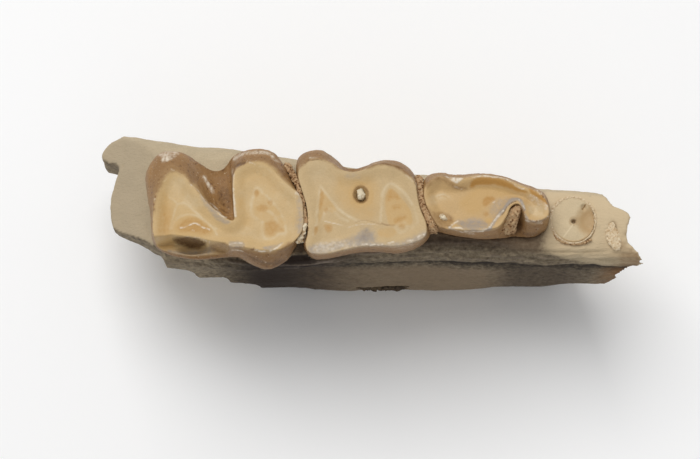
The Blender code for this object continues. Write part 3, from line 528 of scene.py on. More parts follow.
LAST_PREMOLAR_MARKS = [
    patch(Tint.AMBER, 0.08, 0.95, (4.85, 1.17), (4.98, 1.48), (5.34, 1.63), (5.84, 1.63), (6.33, 1.54),
          (6.82, 1.35), (7.25, 1.08), (7.5, 0.99), (7.68, 0.89), (7.32, 0.89), (6.7, 1.11), (6.08, 1.26),
          (5.34, 1.23), (4.98, 1.11)),
    line(Tint.CHALK_AND_HIGHLIGHT, 0.045, 0.85, (4.98, 1.6), (5.47, 1.69), (6.08, 1.63), (6.58, 1.54), (6.88, 1.39),
         (7.19, 1.14), (7.5, 1.05)),
    patch(Tint.AMBER, 0.06, 0.95, (7.75, 1.02), (7.93, 1.05), (8.24, 0.8), (8.55, 0.74), (8.79, 0.37),
          (8.85, 0.06), (8.61, 0.25), (8.3, 0.49), (7.93, 0.77)),
    line(Tint.CHALK_AND_HIGHLIGHT, 0.04, 0.85, (8.18, 1.02), (8.33, 0.77), (8.45, 0.89)),
    line(Tint.CHALK_AND_HIGHLIGHT, 0.04, 0.85, (8.55, 0.89), (8.73, 0.62), (8.89, 0.12)),
    patch(Tint.GOLD, 0.2, 0.7, (4.98, 0.99), (5.59, 1.17), (6.33, 1.14), (6.95, 0.92), (7.19, 0.74),
          (6.7, 0.62), (6.08, 0.62), (5.71, 0.37), (5.47, 0), (5.1, -0.25), (4.61, -0.12), (4.36, 0.37)),
    line(Tint.IVORY, 0.04, 0.6, (5.04, 1.17), (5.59, 1.23), (6.08, 1.23), (6.45, 1.14)),
    patch(Tint.IVORY, 0.2, 0.95, (2.82, 0.49), (3.19, 0.74), (3.68, 0.71), (3.99, 0.55), (3.5, 0.49),
          (3, 0.25)),
    line(Tint.IVORY, 0.06, 0.95, (3.13, 0.65), (3.5, 0.75), (3.87, 0.6)),
    line(Tint.AMBER, 0.03, 0.5, (3.31, 0.65), (3.56, 0.68), (3.74, 0.6)),
    patch(Tint.AMBER, 0.08, 0.75, (5.47, 0.43), (5.65, 0.62), (6.02, 0.63), (6.15, 0.52), (5.84, 0.31),
          (5.59, 0.18)),
    patch(Tint.AMBER, 0.08, 0.5, (5.53, -0.18), (5.65, -0.05), (5.78, -0.18), (5.65, -0.31)),
    line(Tint.CHALK_AND_HIGHLIGHT, 0.05, 0.6, (6.02, 0.37), (6.11, 0.43)),
    patch(Tint.GOLD, 0.08, 0.6, (5.53, -0.49), (5.84, -0.31), (6.02, -0.12), (6.08, -0.25),
          (5.84, -0.62), (5.53, -0.74)),
    patch(Tint.GREY, 0.14, 0.35, (6.08, 0.43), (6.58, 0.62), (6.95, 0.68), (7.07, 0.55), (6.7, 0.25),
          (6.33, -0.18), (5.96, -0.43), (5.84, -0.12)),
    patch(Tint.GREY, 0.14, 0.7, (4.17, -0.55), (4.61, -0.49), (5.28, -0.43), (5.59, -0.55),
          (5.71, -0.8), (5.16, -0.99), (4.73, -0.99), (4.36, -0.8)),
    line(Tint.CHALK_AND_HIGHLIGHT, 0.06, 0.85, (3.81, -0.86), (4.05, -0.65), (4.24, -0.55)),
    line(Tint.CHALK_AND_HIGHLIGHT, 0.06, 0.85, (3.99, -0.86), (4.36, -0.86), (4.73, -1.11), (5.04, -1.14)),
    line(Tint.CHALK_AND_HIGHLIGHT, 0.06, 0.85, (5.28, -0.99), (5.71, -0.92), (6.02, -0.55), (6.21, -0.31)),
    line(Tint.GREY, 0.14, 0.9, (5.76, -0.99), (6.08, -0.49), (6.33, -0.18), (6.58, 0.12), (6.82, 0.43),
         (7.07, 0.55), (7.32, 0.49), (7.47, 0.18), (7.53, 0)),
    line(Tint.GREY, 0.13, 0.8, (3.83, -0.86), (4.16, -1.03), (4.52, -1.11), (4.94, -1.07), (5.43, -1.07),
         (5.84, -0.94)),
    line(Tint.CHALK_AND_HIGHLIGHT, 0.05, 0.8, (3.95, -0.95), (4.3, -1.06), (4.66, -1.08), (5.1, -1.06), (5.5, -1.03)),
    # painted shade: the open hole at the foot of the fold, painted dark inside
    patch(Tint.DARK, 0.1, 0.8, (7.08, -0.5), (7.33, -0.42), (7.47, -0.8), (7.37, -1.05), (7.04, -1)),
    line(Tint.DARK, 0.03, 0.8, (6.39, -0.25), (6.64, 0.09), (6.88, 0.37), (7.13, 0.46)),
    line(Tint.CHALK_AND_HIGHLIGHT, 0.045, 0.8, (6.24, -0.37), (6.33, -0.18), (6.48, -0.03)),
    line(Tint.CHALK_AND_HIGHLIGHT, 0.045, 0.8, (7.25, 0.52), (7.44, 0.31), (7.53, 0.06)),
    patch(Tint.GOLD, 0.12, 0.3, (7.68, 0.43), (7.93, 0.37), (8.3, 0.06), (8.61, -0.12), (8.55, -0.31),
          (8.18, -0.43), (7.87, -0.25), (7.68, 0.06)),
    patch(Tint.IVORY, 0.15, 0.9, (7.70, 0.35), (8.05, 0.38), (8.50, 0.00), (8.45, -0.30), (7.99, -0.35),
          (7.74, -0.06)),
    patch(Tint.CHALK_AND_HIGHLIGHT, 0.08, 0.35, (7.68, 0.74), (8.05, 0.68), (8.49, 0.37), (8.85, 0), (8.73, -0.12),
          (8.3, 0.18), (7.87, 0.49)),
    line(Tint.CHALK_AND_HIGHLIGHT, 0.035, 0.6, (7.81, 0.77), (8.05, 0.68), (8.42, 0.43), (8.79, 0.06)),
    line(Tint.GREY, 0.12, 0.8, (7.56, -0.25), (7.68, -0.49), (8.05, -0.62), (8.42, -0.55), (8.79, -0.31),
         (8.92, -0.06)),
    line(Tint.CHALK_AND_HIGHLIGHT, 0.05, 0.85, (7.59, -0.49), (7.75, -0.58)),
    line(Tint.CHALK_AND_HIGHLIGHT, 0.05, 0.85, (8.12, -0.68), (8.42, -0.65)),
    line(Tint.CHALK_AND_HIGHLIGHT, 0.06, 0.85, (8.67, -0.31), (8.85, -0.34)),
    line(Tint.ENAMEL, 0.1, 0.85, (3.44, -0.86), (3.81, -1.11), (4.36, -1.29), (4.98, -1.39),
         (5.71, -1.35), (6.33, -1.23)),
    patch(Tint.ENAMEL, 0.1, 0.6, (2.76, 0.18), (3.07, -0.12), (3.44, -0.12), (3.87, -0.25),
          (4.05, -0.49), (3.81, -0.86), (3.44, -0.99), (3.07, -0.62), (2.76, -0.25)),
    patch(Tint.ENAMEL, 0.1, 0.6, (2.64, 1.29), (2.94, 1.6), (3.5, 1.72), (3.81, 1.54), (4.24, 1.23),
          (4.73, 1.05), (4.48, 0.99), (3.99, 1.11), (3.5, 1.42), (3.07, 1.35), (2.76, 1.05)),
    patch(Tint.CHALK_AND_HIGHLIGHT, 0.04, 0.9, (3.65, 1.66), (3.99, 1.6), (4.42, 1.6), (4.51, 1.54), (4.24, 1.35),
          (3.99, 1.42)),
    line(Tint.CHALK_AND_HIGHLIGHT, 0.035, 0.6, (4.05, 1.17), (4.36, 1.11)),
    line(Tint.CHALK_AND_HIGHLIGHT, 0.035, 0.6, (4.17, 1.11), (4.48, 1.02)),
    patch(Tint.ENAMEL, 0.07, 0.7, (7.25, -0.43), (7.5, -0.12), (7.62, -0.43), (7.93, -0.74),
          (8.55, -0.74), (8.85, -0.43), (8.92, -0.62), (8.67, -0.99), (7.93, -1.23), (7.44, -0.99)),
    # painted shade: the foot of the crown's tongue-side wall, painted dark where it lies in shadow
    patch(Tint.DARK, 0.12, 0.55, (6.7, -1.23), (7.32, -1.23), (7.93, -1.35), (8.55, -1.17),
          (8.79, -0.99), (8.3, -1.11), (7.68, -1.14), (7.19, -0.92), (6.95, -0.99)),
]


# Meshes


@dataclass
class Skin:
    """Points and faces gathered for one mesh, in row millimetres."""

    points: list[np.ndarray] = field(default_factory=list)
    faces: list[list[int]] = field(default_factory=list)
    count: int = 0

    def ring(self, points: np.ndarray) -> np.ndarray:
        """Adds points.

        Args:
            points: their places, one row each.

        Returns:
            Their numbers.
        """
        self.points.append(np.asarray(points, float))
        self.count += len(points)
        return np.arange(self.count - len(points), self.count)

    def lay(self, flat: np.ndarray, height: float | np.ndarray) -> np.ndarray:
        """Adds points of the plane at one height, or each at its own, and returns their numbers."""
        return self.ring(np.column_stack([flat, np.broadcast_to(height, len(flat))]))

    def bridge(self, ring: np.ndarray, next_ring: np.ndarray) -> None:
        """Adds faces between two rings of equal count."""
        quads = np.stack([ring, np.roll(ring, -1), np.roll(next_ring, -1), next_ring], axis=1)
        self.faces += quads.tolist()

    def cap(self, ring: np.ndarray) -> None:
        """Closes a ring with one face."""
        self.faces.append(ring.tolist())

    def fill(self, ring: np.ndarray, pitch: float, height: Callable[[np.ndarray], np.ndarray]) -> None:
        """Closes a ring with triangles.

        Args:
            ring: the numbers of the ring's points.
            pitch: distance between the points laid inside it.
            height: gives those points their height from their place.
        """
        outline = np.vstack(self.points)[ring, :2]
        edges = [(i, (i + 1) % len(ring)) for i in range(len(ring))]
        low, high = outline.min(axis=0), outline.max(axis=0)
        rows = np.arange(low[1], high[1], pitch * math.sqrt(0.75))
        columns = np.arange(low[0], high[0], pitch)
        grid = np.array([(x + (i % 2) * pitch / 2, y) for i, y in enumerate(rows) for x in columns])
        grid = grid[inside(grid, outline)]
        grid = grid[distance_to(grid, outline) > 0.6 * pitch]
        added = self.lay(grid, height(grid))
        flat, numbers = np.vstack([outline, grid]), np.concatenate([ring, added])
        joined = geometry.delaunay_2d_cdt([Vector(p) for p in flat], edges, [], 0, 1e-7)
        places, corners, sources = joined[0], np.array(joined[2]), joined[3]
        middles = np.array([p[:] for p in places])[corners].mean(axis=1)
        source = np.array([s[0] for s in sources])
        self.faces += numbers[source[corners[inside(middles, outline)]]].tolist()

    def made(self, name: str) -> bpy.types.Object:
        """Turns the skin into a smooth-shaded object in the scene.

        Args:
            name: the object's name.

        Returns:
            The object.
        """
        mesh = bpy.data.meshes.new(name)
        mesh.from_pydata(placed(np.vstack(self.points)).tolist(), [], self.faces)
        made = bpy.data.objects.new(name, mesh)
        bpy.context.scene.collection.objects.link(made)
        return outward(made)


def outward(piece: bpy.types.Object) -> bpy.types.Object:
    """Turns a piece's faces outwards and shades it smooth.

    Args:
        piece: the piece.

    Returns:
        The same piece.
    """
    bm = bmesh.new()
    bm.from_mesh(piece.data)
    bmesh.ops.recalc_face_normals(bm, faces=bm.faces)
    bm.to_mesh(piece.data)
    bm.free()
    piece.data.shade_smooth()
    return piece


def row_points(piece: bpy.types.Object) -> np.ndarray:
    """A piece's points in row millimetres.

    Args:
        piece: the piece.

    Returns:
        One row for each point.
    """
    flat = np.empty(len(piece.data.vertices) * 3)
    piece.data.vertices.foreach_get("co", flat)
    return flat.reshape(-1, 3) / MM + (0.0, ROW_TO_MIDDLE, 0.0)


def set_row_points(piece: bpy.types.Object, points: np.ndarray) -> None:
    """Moves a piece's points to places in row millimetres."""
    piece.data.vertices.foreach_set("co", placed(points).ravel())
    piece.data.update()


def normals_of(piece: bpy.types.Object) -> np.ndarray:
    """The outward direction at each of a piece's points.

    Args:
        piece: the piece.

    Returns:
        One direction for each point.
    """
    flat = np.empty(len(piece.data.vertices) * 3)
    piece.data.vertex_normals.foreach_get("vector", flat)
    return flat.reshape(-1, 3)


def keep_mask(piece: bpy.types.Object, name: str, values: np.ndarray) -> None:
    """Stores one number for each point, for the material to read by name."""
    attribute = piece.data.attributes.new(name, "FLOAT", "POINT")
    attribute.data.foreach_set("value", np.clip(values, 0, 1).astype(np.float32))


def remeshed(piece: bpy.types.Object, voxel: float, smoothing: int) -> bpy.types.Object:
    """Rebuilds a piece as one even skin.

    Args:
        piece: the piece to rebuild.
        voxel: size of the new faces in millimetres.
        smoothing: how many times the new skin is smoothed.

    Returns:
        The same piece with its new mesh.
    """
    remesh = piece.modifiers.new("even_skin", "REMESH")
    remesh.mode, remesh.voxel_size, remesh.adaptivity = "VOXEL", voxel * MM, 0.0
    smooth = piece.modifiers.new("softening", "SMOOTH")
    smooth.factor, smooth.iterations = 0.5, smoothing
    evaluated = piece.evaluated_get(bpy.context.evaluated_depsgraph_get())
    mesh = bpy.data.meshes.new_from_object(evaluated)
    old = piece.data
    piece.modifiers.clear()
    piece.data = mesh
    bpy.data.meshes.remove(old)
    piece.data.shade_smooth()
    return piece


# Finishes


class Board:
    """A node tree with short ways to place and join its nodes."""

    def __init__(self, tree: bpy.types.NodeTree) -> None:
        """Starts on an empty tree."""
        self.tree = tree
        tree.nodes.clear()

    def node(self, kind: str, feeds: dict | None = None, **settings: object) -> bpy.types.Node:
        """Places a node.

        Args:
            kind: Blender's name of the node type.
            feeds: what goes into its inputs, by name or number: a socket to join, or a value.
            settings: the node's own settings.

        Returns:
            The node.
        """
        made = self.tree.nodes.new(kind)
        for key, value in settings.items():
            setattr(made, key, value)
        for key, value in (feeds or {}).items():
            if isinstance(value, Socket):
                self.tree.links.new(value, made.inputs[key])
            else:
                made.inputs[key].default_value = value
        return made

    def math(self, operation: str, a: object, b: object, clamp: bool = False) -> Socket:
        """The result of one sum on two values or sockets."""
        return self.node("ShaderNodeMath", {0: a, 1: b}, operation=operation, use_clamp=clamp).outputs[0]

    def mask(self, name: str) -> Socket:
        """The number stored on the mesh under a name."""
        return self.node("ShaderNodeAttribute", attribute_name=name).outputs["Fac"]

    def place(self) -> Socket:
        """The place on the object in millimetres."""
        own = self.node("ShaderNodeTexCoord").outputs["Object"]
        return self.node("ShaderNodeVectorMath", {0: own, "Scale": 1 / MM}, operation="SCALE").outputs[0]

    def noise(self, place: Socket, scale: Socket, detail: float, roughness: float = 0.5) -> Socket:
        """Soft noise from 0 to 1 at each place."""
        feeds = {"Vector": place, "Scale": scale, "Detail": detail, "Roughness": roughness}
        return self.node("ShaderNodeTexNoise", feeds).outputs[0]


COLOUR, NUMBER = "NodeSocketColor", "NodeSocketFloat"
WHITE, BLACK = (1, 1, 1, 1), (0, 0, 0, 1)


def new_group(name: str, inputs: list[tuple[str, str, object]], outputs: list[tuple[str, str]]) -> tuple:
    """Starts a shader node group.

    Args:
        name: the group's name.
        inputs: name, socket type and default of each input.
        outputs: name and socket type of each output.

    Returns:
        The group, its board, its input node and its output node.
    """
    group = bpy.data.node_groups.new(name, "ShaderNodeTree")
    for label, kind, default in inputs:
        socket = group.interface.new_socket(label, in_out="INPUT", socket_type=kind)
        socket.default_value = default
    for label, kind in outputs:
        group.interface.new_socket(label, in_out="OUTPUT", socket_type=kind)
    board = Board(group)
    return group, board, board.node("NodeGroupInput"), board.node("NodeGroupOutput")


class Effects:
    """The effects that several finishes share."""

    def __init__(self) -> None:
        """Builds each group once."""
        self.blend_overlay = self.make_overlay("ragged_overlay", "Ragged", (0.4, 6.0), (4.0, 0.6), self.ragged)
        self.mottle = self.make_mottle()
        self.grain = self.make_grain()
        self.fleck = self.make_overlay("scattered_flecks", "Amount", (0.4, 9.0), (3.0, 0.7), self.scattered)

    def make_overlay(self, name: str, amount: str, usual: tuple[float, float], grain: tuple[float, float],
                     tear: Callable[[Board, Socket, Socket, Socket], Socket]) -> bpy.types.NodeTree:
        """Lays one colour over another where a mask says, broken up by noise.

        Args:
            name: the group's name.
            amount: the name of the input that says how much the noise does.
            usual: that amount and the noise's scale, where a finish gives none.
            grain: the noise's detail and roughness.
            tear: turns the mask, the noise and the amount into the cover.

        Returns:
            The group.
        """
        group, board, given, result = new_group(
            name,
            [("Under", COLOUR, WHITE), ("Over", COLOUR, BLACK), ("Mask", NUMBER, 0.0),
             (amount, NUMBER, usual[0]), ("Scale", NUMBER, usual[1])],
            [("Color", COLOUR)],
        )
        inputs = given.outputs
        noise = board.noise(board.place(), inputs["Scale"], *grain)
        cover = tear(board, inputs["Mask"], noise, inputs[amount])
        feeds = {"Factor": cover, 6: inputs["Under"], 7: inputs["Over"]}
        mixed = board.node("ShaderNodeMix", feeds, data_type="RGBA")
        board.tree.links.new(mixed.outputs[2], result.inputs["Color"])
        return group

    @staticmethod
    def ragged(board: Board, mask: Socket, noise: Socket, amount: Socket) -> Socket:
        """A soft cover whose half-way values swing with the noise.

        Args:
            board: where the nodes are placed.
            mask: the mask.
            noise: the noise.
            amount: how far the noise swings it.

        Returns:
            The cover.
        """
        swing = board.math("MULTIPLY", board.math("SUBTRACT", noise, 0.5), amount)
        half_way = board.math("MULTIPLY", mask, board.math("SUBTRACT", 1.0, mask))
        middle = board.math("MULTIPLY", half_way, 8.0)
        return board.math("ADD", mask, board.math("MULTIPLY", swing, middle), clamp=True)

    @staticmethod
    def scattered(board: Board, mask: Socket, noise: Socket, amount: Socket) -> Socket:
        """A cover of small sharp flecks, more of them where the mask is strong.

        Args:
            board: where the nodes are placed.
            mask: the mask.
            noise: the noise.
            amount: how many flecks there are.

        Returns:
            The cover.
        """
        share = board.math("MULTIPLY", amount, mask)
        start = board.math("SUBTRACT", 0.72, board.math("MULTIPLY", share, 0.27))
        shown = board.math("MULTIPLY", board.math("SUBTRACT", noise, start), 16.0, clamp=True)
        return board.math("MULTIPLY", shown, mask, clamp=True)

    def make_mottle(self) -> bpy.types.NodeTree:
        """Varies a colour's brightness in soft clouds and fine specks.

        Returns:
            The group.
        """
        group, board, given, result = new_group(
            "mottling",
            [("Color", COLOUR, WHITE), ("Clouds", NUMBER, 0.15), ("Cloud Scale", NUMBER, 1.2),
             ("Specks", NUMBER, 0.1), ("Speck Scale", NUMBER, 14.0)],
            [("Color", COLOUR)],
        )
        place, inputs, swings = board.place(), given.outputs, []
        for amount, scale, detail in (("Clouds", "Cloud Scale", 3.0), ("Specks", "Speck Scale", 2.0)):
            noise = board.noise(place, inputs[scale], detail)
            swings.append(board.math("MULTIPLY", board.math("SUBTRACT", noise, 0.5), inputs[amount]))
        gain = board.math("ADD", 1.0, board.math("MULTIPLY", board.math("ADD", *swings), 2.0))
        scaled = board.node("ShaderNodeVectorMath", {0: inputs["Color"], "Scale": gain}, operation="SCALE")
        board.tree.links.new(scaled.outputs[0], result.inputs["Color"])
        return group

    def make_grain(self) -> bpy.types.NodeTree:
        """Height of a fine grain, for a Bump node.

        Returns:
            The group.
        """
        group, board, given, result = new_group(
            "surface_grain", [("Scale", NUMBER, 10.0), ("Stretch", NUMBER, 1.0)], [("Height", NUMBER)])
        parts = board.node("ShaderNodeSeparateXYZ", {0: board.place()}).outputs
        along = board.math("DIVIDE", parts[0], given.outputs["Stretch"])
        place = board.node("ShaderNodeCombineXYZ", {0: along, 1: parts[1], 2: parts[2]}).outputs[0]
        noise = board.noise(place, given.outputs["Scale"], 5.0, 0.65)
        board.tree.links.new(noise, result.inputs["Height"])
        return group


class Laid(Enum):
    """How a layer of colour lies over the ones below it."""

    STAINED = "blended"
    FLECKED = "flecked"


@dataclass(frozen=True)
class Layer:
    """One colour of a finish: the mask it follows, how ragged or how dense it is, its scale and its kind."""

    mask: str
    colour: tuple[float, float, float, float]
    amount: float = 0.45
    scale: float = 7.0
    laid: Laid = Laid.STAINED


@dataclass(frozen=True)
class Finish:
    """A fossil surface: its ground colour, the stains, painted shade and painted highlights over it, its
    mottling, roughness, grain and shine.
    """

    name: str
    ground: tuple[float, float, float, float]
    layers: tuple[Layer, ...]
    clouds: float = 0.12
    cloud_scale: float = 1.1
    specks: float = 0.10
    speck_scale: float = 13.0
    roughness: float = 0.45
    grain_scale: float = 11.0
    grain_stretch: float = 1.0
    grain_depth: float = 0.03
    shine: float = 0.22

    def material(self, effects: Effects) -> bpy.types.Material:
        """Builds the material.

        Args:
            effects: the node groups that it places.

        Returns:
            The material.
        """
        made = bpy.data.materials.new(self.name)
        made.use_nodes = True
        board = Board(made.node_tree)
        feeds = {"Color": self.ground, "Clouds": self.clouds, "Cloud Scale": self.cloud_scale,
                 "Specks": self.specks, "Speck Scale": self.speck_scale}
        colour = board.node("ShaderNodeGroup", feeds, node_tree=effects.mottle).outputs["Color"]
        for layer in self.layers:
            flecked = layer.laid is Laid.FLECKED
            feeds = {"Under": colour, "Over": layer.colour, "Mask": board.mask(layer.mask),
                     "Amount" if flecked else "Ragged": layer.amount, "Scale": layer.scale}
            overlay = effects.fleck if flecked else effects.blend_overlay
            colour = board.node("ShaderNodeGroup", feeds, node_tree=overlay).outputs["Color"]
        feeds = {"Scale": self.grain_scale, "Stretch": self.grain_stretch}
        height = board.node("ShaderNodeGroup", feeds, node_tree=effects.grain).outputs["Height"]
        feeds = {"Height": height, "Distance": self.grain_depth * MM, "Strength": 1.0}
        normal = board.node("ShaderNodeBump", feeds).outputs[0]
        feeds = {"Base Color": colour, "Roughness": self.roughness, "Normal": normal,
                 "Specular IOR Level": self.shine}
        shader = board.node("ShaderNodeBsdfPrincipled", feeds)
        board.node("ShaderNodeOutputMaterial", {0: shader.outputs[0]})
        return made


def dressed(piece: bpy.types.Object, material: bpy.types.Material, slot: str,
            *nodes: str) -> bpy.types.Object:
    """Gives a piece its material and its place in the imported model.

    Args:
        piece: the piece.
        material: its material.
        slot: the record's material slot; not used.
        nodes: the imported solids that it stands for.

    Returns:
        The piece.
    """
    piece.data.materials.clear()
    piece.data.materials.append(material)
    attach(piece, BODY)
    if nodes:
        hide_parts(*nodes)
    LOG.info("%s: %d points, %d faces", piece.name, len(piece.data.vertices), len(piece.data.polygons))
    return piece


# Pieces


GIRTH_HEIGHT = 9.7
NECK_HEIGHT = 8.75
NECK_INSET = 0.38
WEAR_TILT = -0.05
ROOT_TAPER = 0.55
ROOT_LEAN = 0.07
ROOT_SUNK = 0.25
EDGE_INSET, EDGE_RISE = 0.035, 0.012
STUMP_MIDDLE = (10.05, -0.08)
TOWARDS_VIEW = np.array([0.0, -math.cos(LOOK_DOWN), math.sin(LOOK_DOWN)])
RELIEF = {Tint.CHALK_AND_HIGHLIGHT: 0.022, Tint.ENAMEL: 0.012, Tint.IVORY: 0.010, Tint.DARK: -0.060, Tint.AMBER: -0.012}


def add_root(skin: Skin, centre: tuple[float, float], radii: tuple[float, float], top: float,
             tip: float) -> np.ndarray:
    """Adds a tapering root with a rounded tip.

    Args:
        skin: where it is added.
        centre: its x and y at the top.
        radii: its half length and half width there.
        top: the height of its top.
        tip: the height of its tip.

    Returns:
        The numbers of its open top ring.
    """
    angles = np.linspace(0, 2 * math.pi, 40, endpoint=False)
    rings = []
    for share in np.linspace(0, 1, 16):
        z = top + (tip - top) * share
        narrow = (1 - ROOT_TAPER * share) * math.sqrt(max(1 - share**4, 0.02))
        along = centre[0] + (z - top) * ROOT_LEAN + radii[0] * narrow * np.cos(angles)
        across = centre[1] + radii[1] * narrow * np.sin(angles)
        rings.append(skin.lay(np.column_stack([along, across]), z))
    for upper, lower in zip(rings, rings[1:]):
        skin.bridge(upper, lower)
    skin.cap(rings[-1])
    return rings[0]


@dataclass
class Tooth:
    """A worn cheek tooth: crown outline at its edge and girth, wear, roots and the strokes drawn on it."""

    node: str
    slot: str
    finish: Finish
    landmarks: list[tuple[float, float, float, float]]
    valley: tuple[int, int]
    roots: list[tuple[float, float, float, float, float]]
    dish: float
    dish_reach: float
    marks: list[Mark]
    broken_corner: list[tuple[float, float]] = field(default_factory=list)
    pits: list[Pit] = field(default_factory=list)
    per_gap: int = 13
    pitch: float = 0.055
    broken_depth: float = 1.25
    seed: int = 1

    def height(self, points: np.ndarray) -> np.ndarray:
        """The height of the chewing surface.

        Args:
            points: places in the plane.

        Returns:
            The height at each place.
        """
        z = CHEWING_HEIGHT + WEAR_TILT * points[:, 1]
        z -= self.dish * smooth_step(distance_to(points, self.edge), 0.05, self.dish_reach)
        if self.broken_corner:
            corner = np.array(self.broken_corner)
            depth_in = np.where(inside(points, corner), 1, -1) * distance_to(points, corner)
            z -= self.broken_depth * smooth_step(depth_in, -0.06, 0.16)
        for pit in self.pits:
            z -= hollow(points, pit)
        return z

    def build(self) -> bpy.types.Object:
        """Builds the crown and its roots.

        Returns:
            The tooth, with the masks that its finish reads.
        """
        marks = np.array(self.landmarks)
        self.edge = curve_through(marks[:, :2], self.per_gap)
        girth = curve_through(marks[:, 2:], self.per_gap)
        first, last = self.valley
        late = np.zeros(len(marks))
        late[first:last + 1] = 1.0
        late = (late + np.roll(late, 1) + np.roll(late, -1)) / 3
        late = np.clip(curve_through(late[:, None], self.per_gap), 0, 1)
        top = self.height(self.edge)
        skin = Skin()
        rings = [skin.lay(grown(self.edge, -EDGE_INSET), top + EDGE_RISE)]
        walls = [0.0]
        for share in np.linspace(0, 1, 20):
            bulge = math.sin(share * math.pi / 2)
            lean = bulge * (1 - late) + share**3 * late
            z = top - EDGE_RISE * (share == 0) + (GIRTH_HEIGHT - top) * share
            rings.append(skin.lay(self.edge + (girth - self.edge) * lean, z))
            walls.append(min(1.0, 0.25 + 3.0 * share))
        neck = drawn_in(girth, [root[:2] for root in self.roots], NECK_INSET)
        for share in np.linspace(0, 1, 8)[1:]:
            flat = girth + (neck - girth) * (1 - math.cos(share * math.pi / 2))
            rings.append(skin.lay(flat, GIRTH_HEIGHT + (NECK_HEIGHT - GIRTH_HEIGHT) * share))
            walls.append(1.0)
        for upper, lower in zip(rings, rings[1:]):
            skin.bridge(upper, lower)
        skin.fill(rings[0], self.pitch, self.height)
        self.close_underside(skin, rings[-1], neck)
        for x, y, rx, ry, tip in self.roots:
            skin.cap(add_root(skin, (x, y), (rx, ry), NECK_HEIGHT + ROOT_SUNK, tip))
        piece = skin.made(self.node + "_tooth")
        wall = np.zeros(skin.count)
        for numbers, value in zip(rings, walls):
            wall[numbers] = value
        self.paint(piece, wall)
        return piece

    def close_underside(self, skin: Skin, neck_ring: np.ndarray, neck: np.ndarray) -> None:
        """Closes the crown below its neck, towards the line between its roots.

        Args:
            skin: where the faces are added.
            neck_ring: the numbers of the neck's points.
            neck: their places in the plane.
        """
        inmost = nearest_on([root[:2] for root in self.roots], neck)
        above = neck_ring
        for share in (0.35, 0.7, 0.97):
            below = skin.lay(neck + (inmost - neck) * share, NECK_HEIGHT - 0.05 * share)
            skin.bridge(above, below)
            above = below
        skin.cap(above)

    def paint(self, piece: bpy.types.Object, wall: np.ndarray) -> None:
        """Lays the strokes on the tooth as masks and as low relief.

        Args:
            piece: the tooth.
            wall: how far each point belongs to the crown's enamel walls.
        """
        rough = Roughening(self.seed)
        points, normals = row_points(piece), normals_of(piece)
        lifted = smooth_step(points[:, 2], NECK_HEIGHT - 0.1, NECK_HEIGHT + 0.2)
        keep_mask(piece, "wall", wall * lifted)
        keep_mask(piece, "root", 1 - lifted)
        inwards = distance_to(points[:, :2], self.edge)
        high = smooth_step(points[:, 2], 10.2, 10.75)
        patchy_rim = smooth_step(rough.at(points + 5.0, 1.3, 2), -0.25, 0.45)
        # the rim's pale flecks are partly chalky enamel and partly painted highlight along the worn ridges
        keep_mask(piece, "edge", (1 - smooth_step(inwards, 0.02, 0.16)) * high * (0.25 + 0.75 * patchy_rim))
        # painted shade: the enamel walls are painted darker towards their foot, near the bone
        keep_mask(piece, "low_wall_shade", wall * smooth_step(points[:, 2], 10.3, 9.2) * lifted)
        facing = smooth_step(normals @ TOWARDS_VIEW, 0.02, 0.30) * lifted
        warp = np.stack([rough.at(points, 0.45, 3), rough.at(points + 31.0, 0.45, 3)], axis=1) * 0.05
        at = as_seen(points) + warp
        covers = {tint: np.zeros(len(points)) for tint in Tint}
        for mark in self.marks:
            cover = mark.cover(at) * facing
            covers[mark.tint] = covers[mark.tint] + cover * (1 - covers[mark.tint])
        relief = rough.at(points, 0.7, 3) * 0.018 + rough.at(points, 0.16, 2) * (0.004 + 0.018 * wall)
        broken_up = smooth_step(rough.at(points, 0.11, 2), -0.45, 0.25)
        uneven = 0.25 + 0.45 * smooth_step(rough.at(points + 9.0, 0.5, 2), -0.4, 0.4)
        covers[Tint.CHALK_AND_HIGHLIGHT] = covers[Tint.CHALK_AND_HIGHLIGHT] * (0.25 + 0.75 * broken_up)
        covers[Tint.IVORY] = covers[Tint.IVORY] * uneven
        for tint, cover in covers.items():
            keep_mask(piece, tint.value, cover)
            relief = relief + RELIEF.get(tint, 0.0) * cover
        set_row_points(piece, points + normals * (relief * lifted)[:, None])

    def add(self, effects: Effects) -> bpy.types.Object:
        """Builds the tooth and dresses it."""
        return dressed(self.build(), self.finish.material(effects), self.slot, self.node)


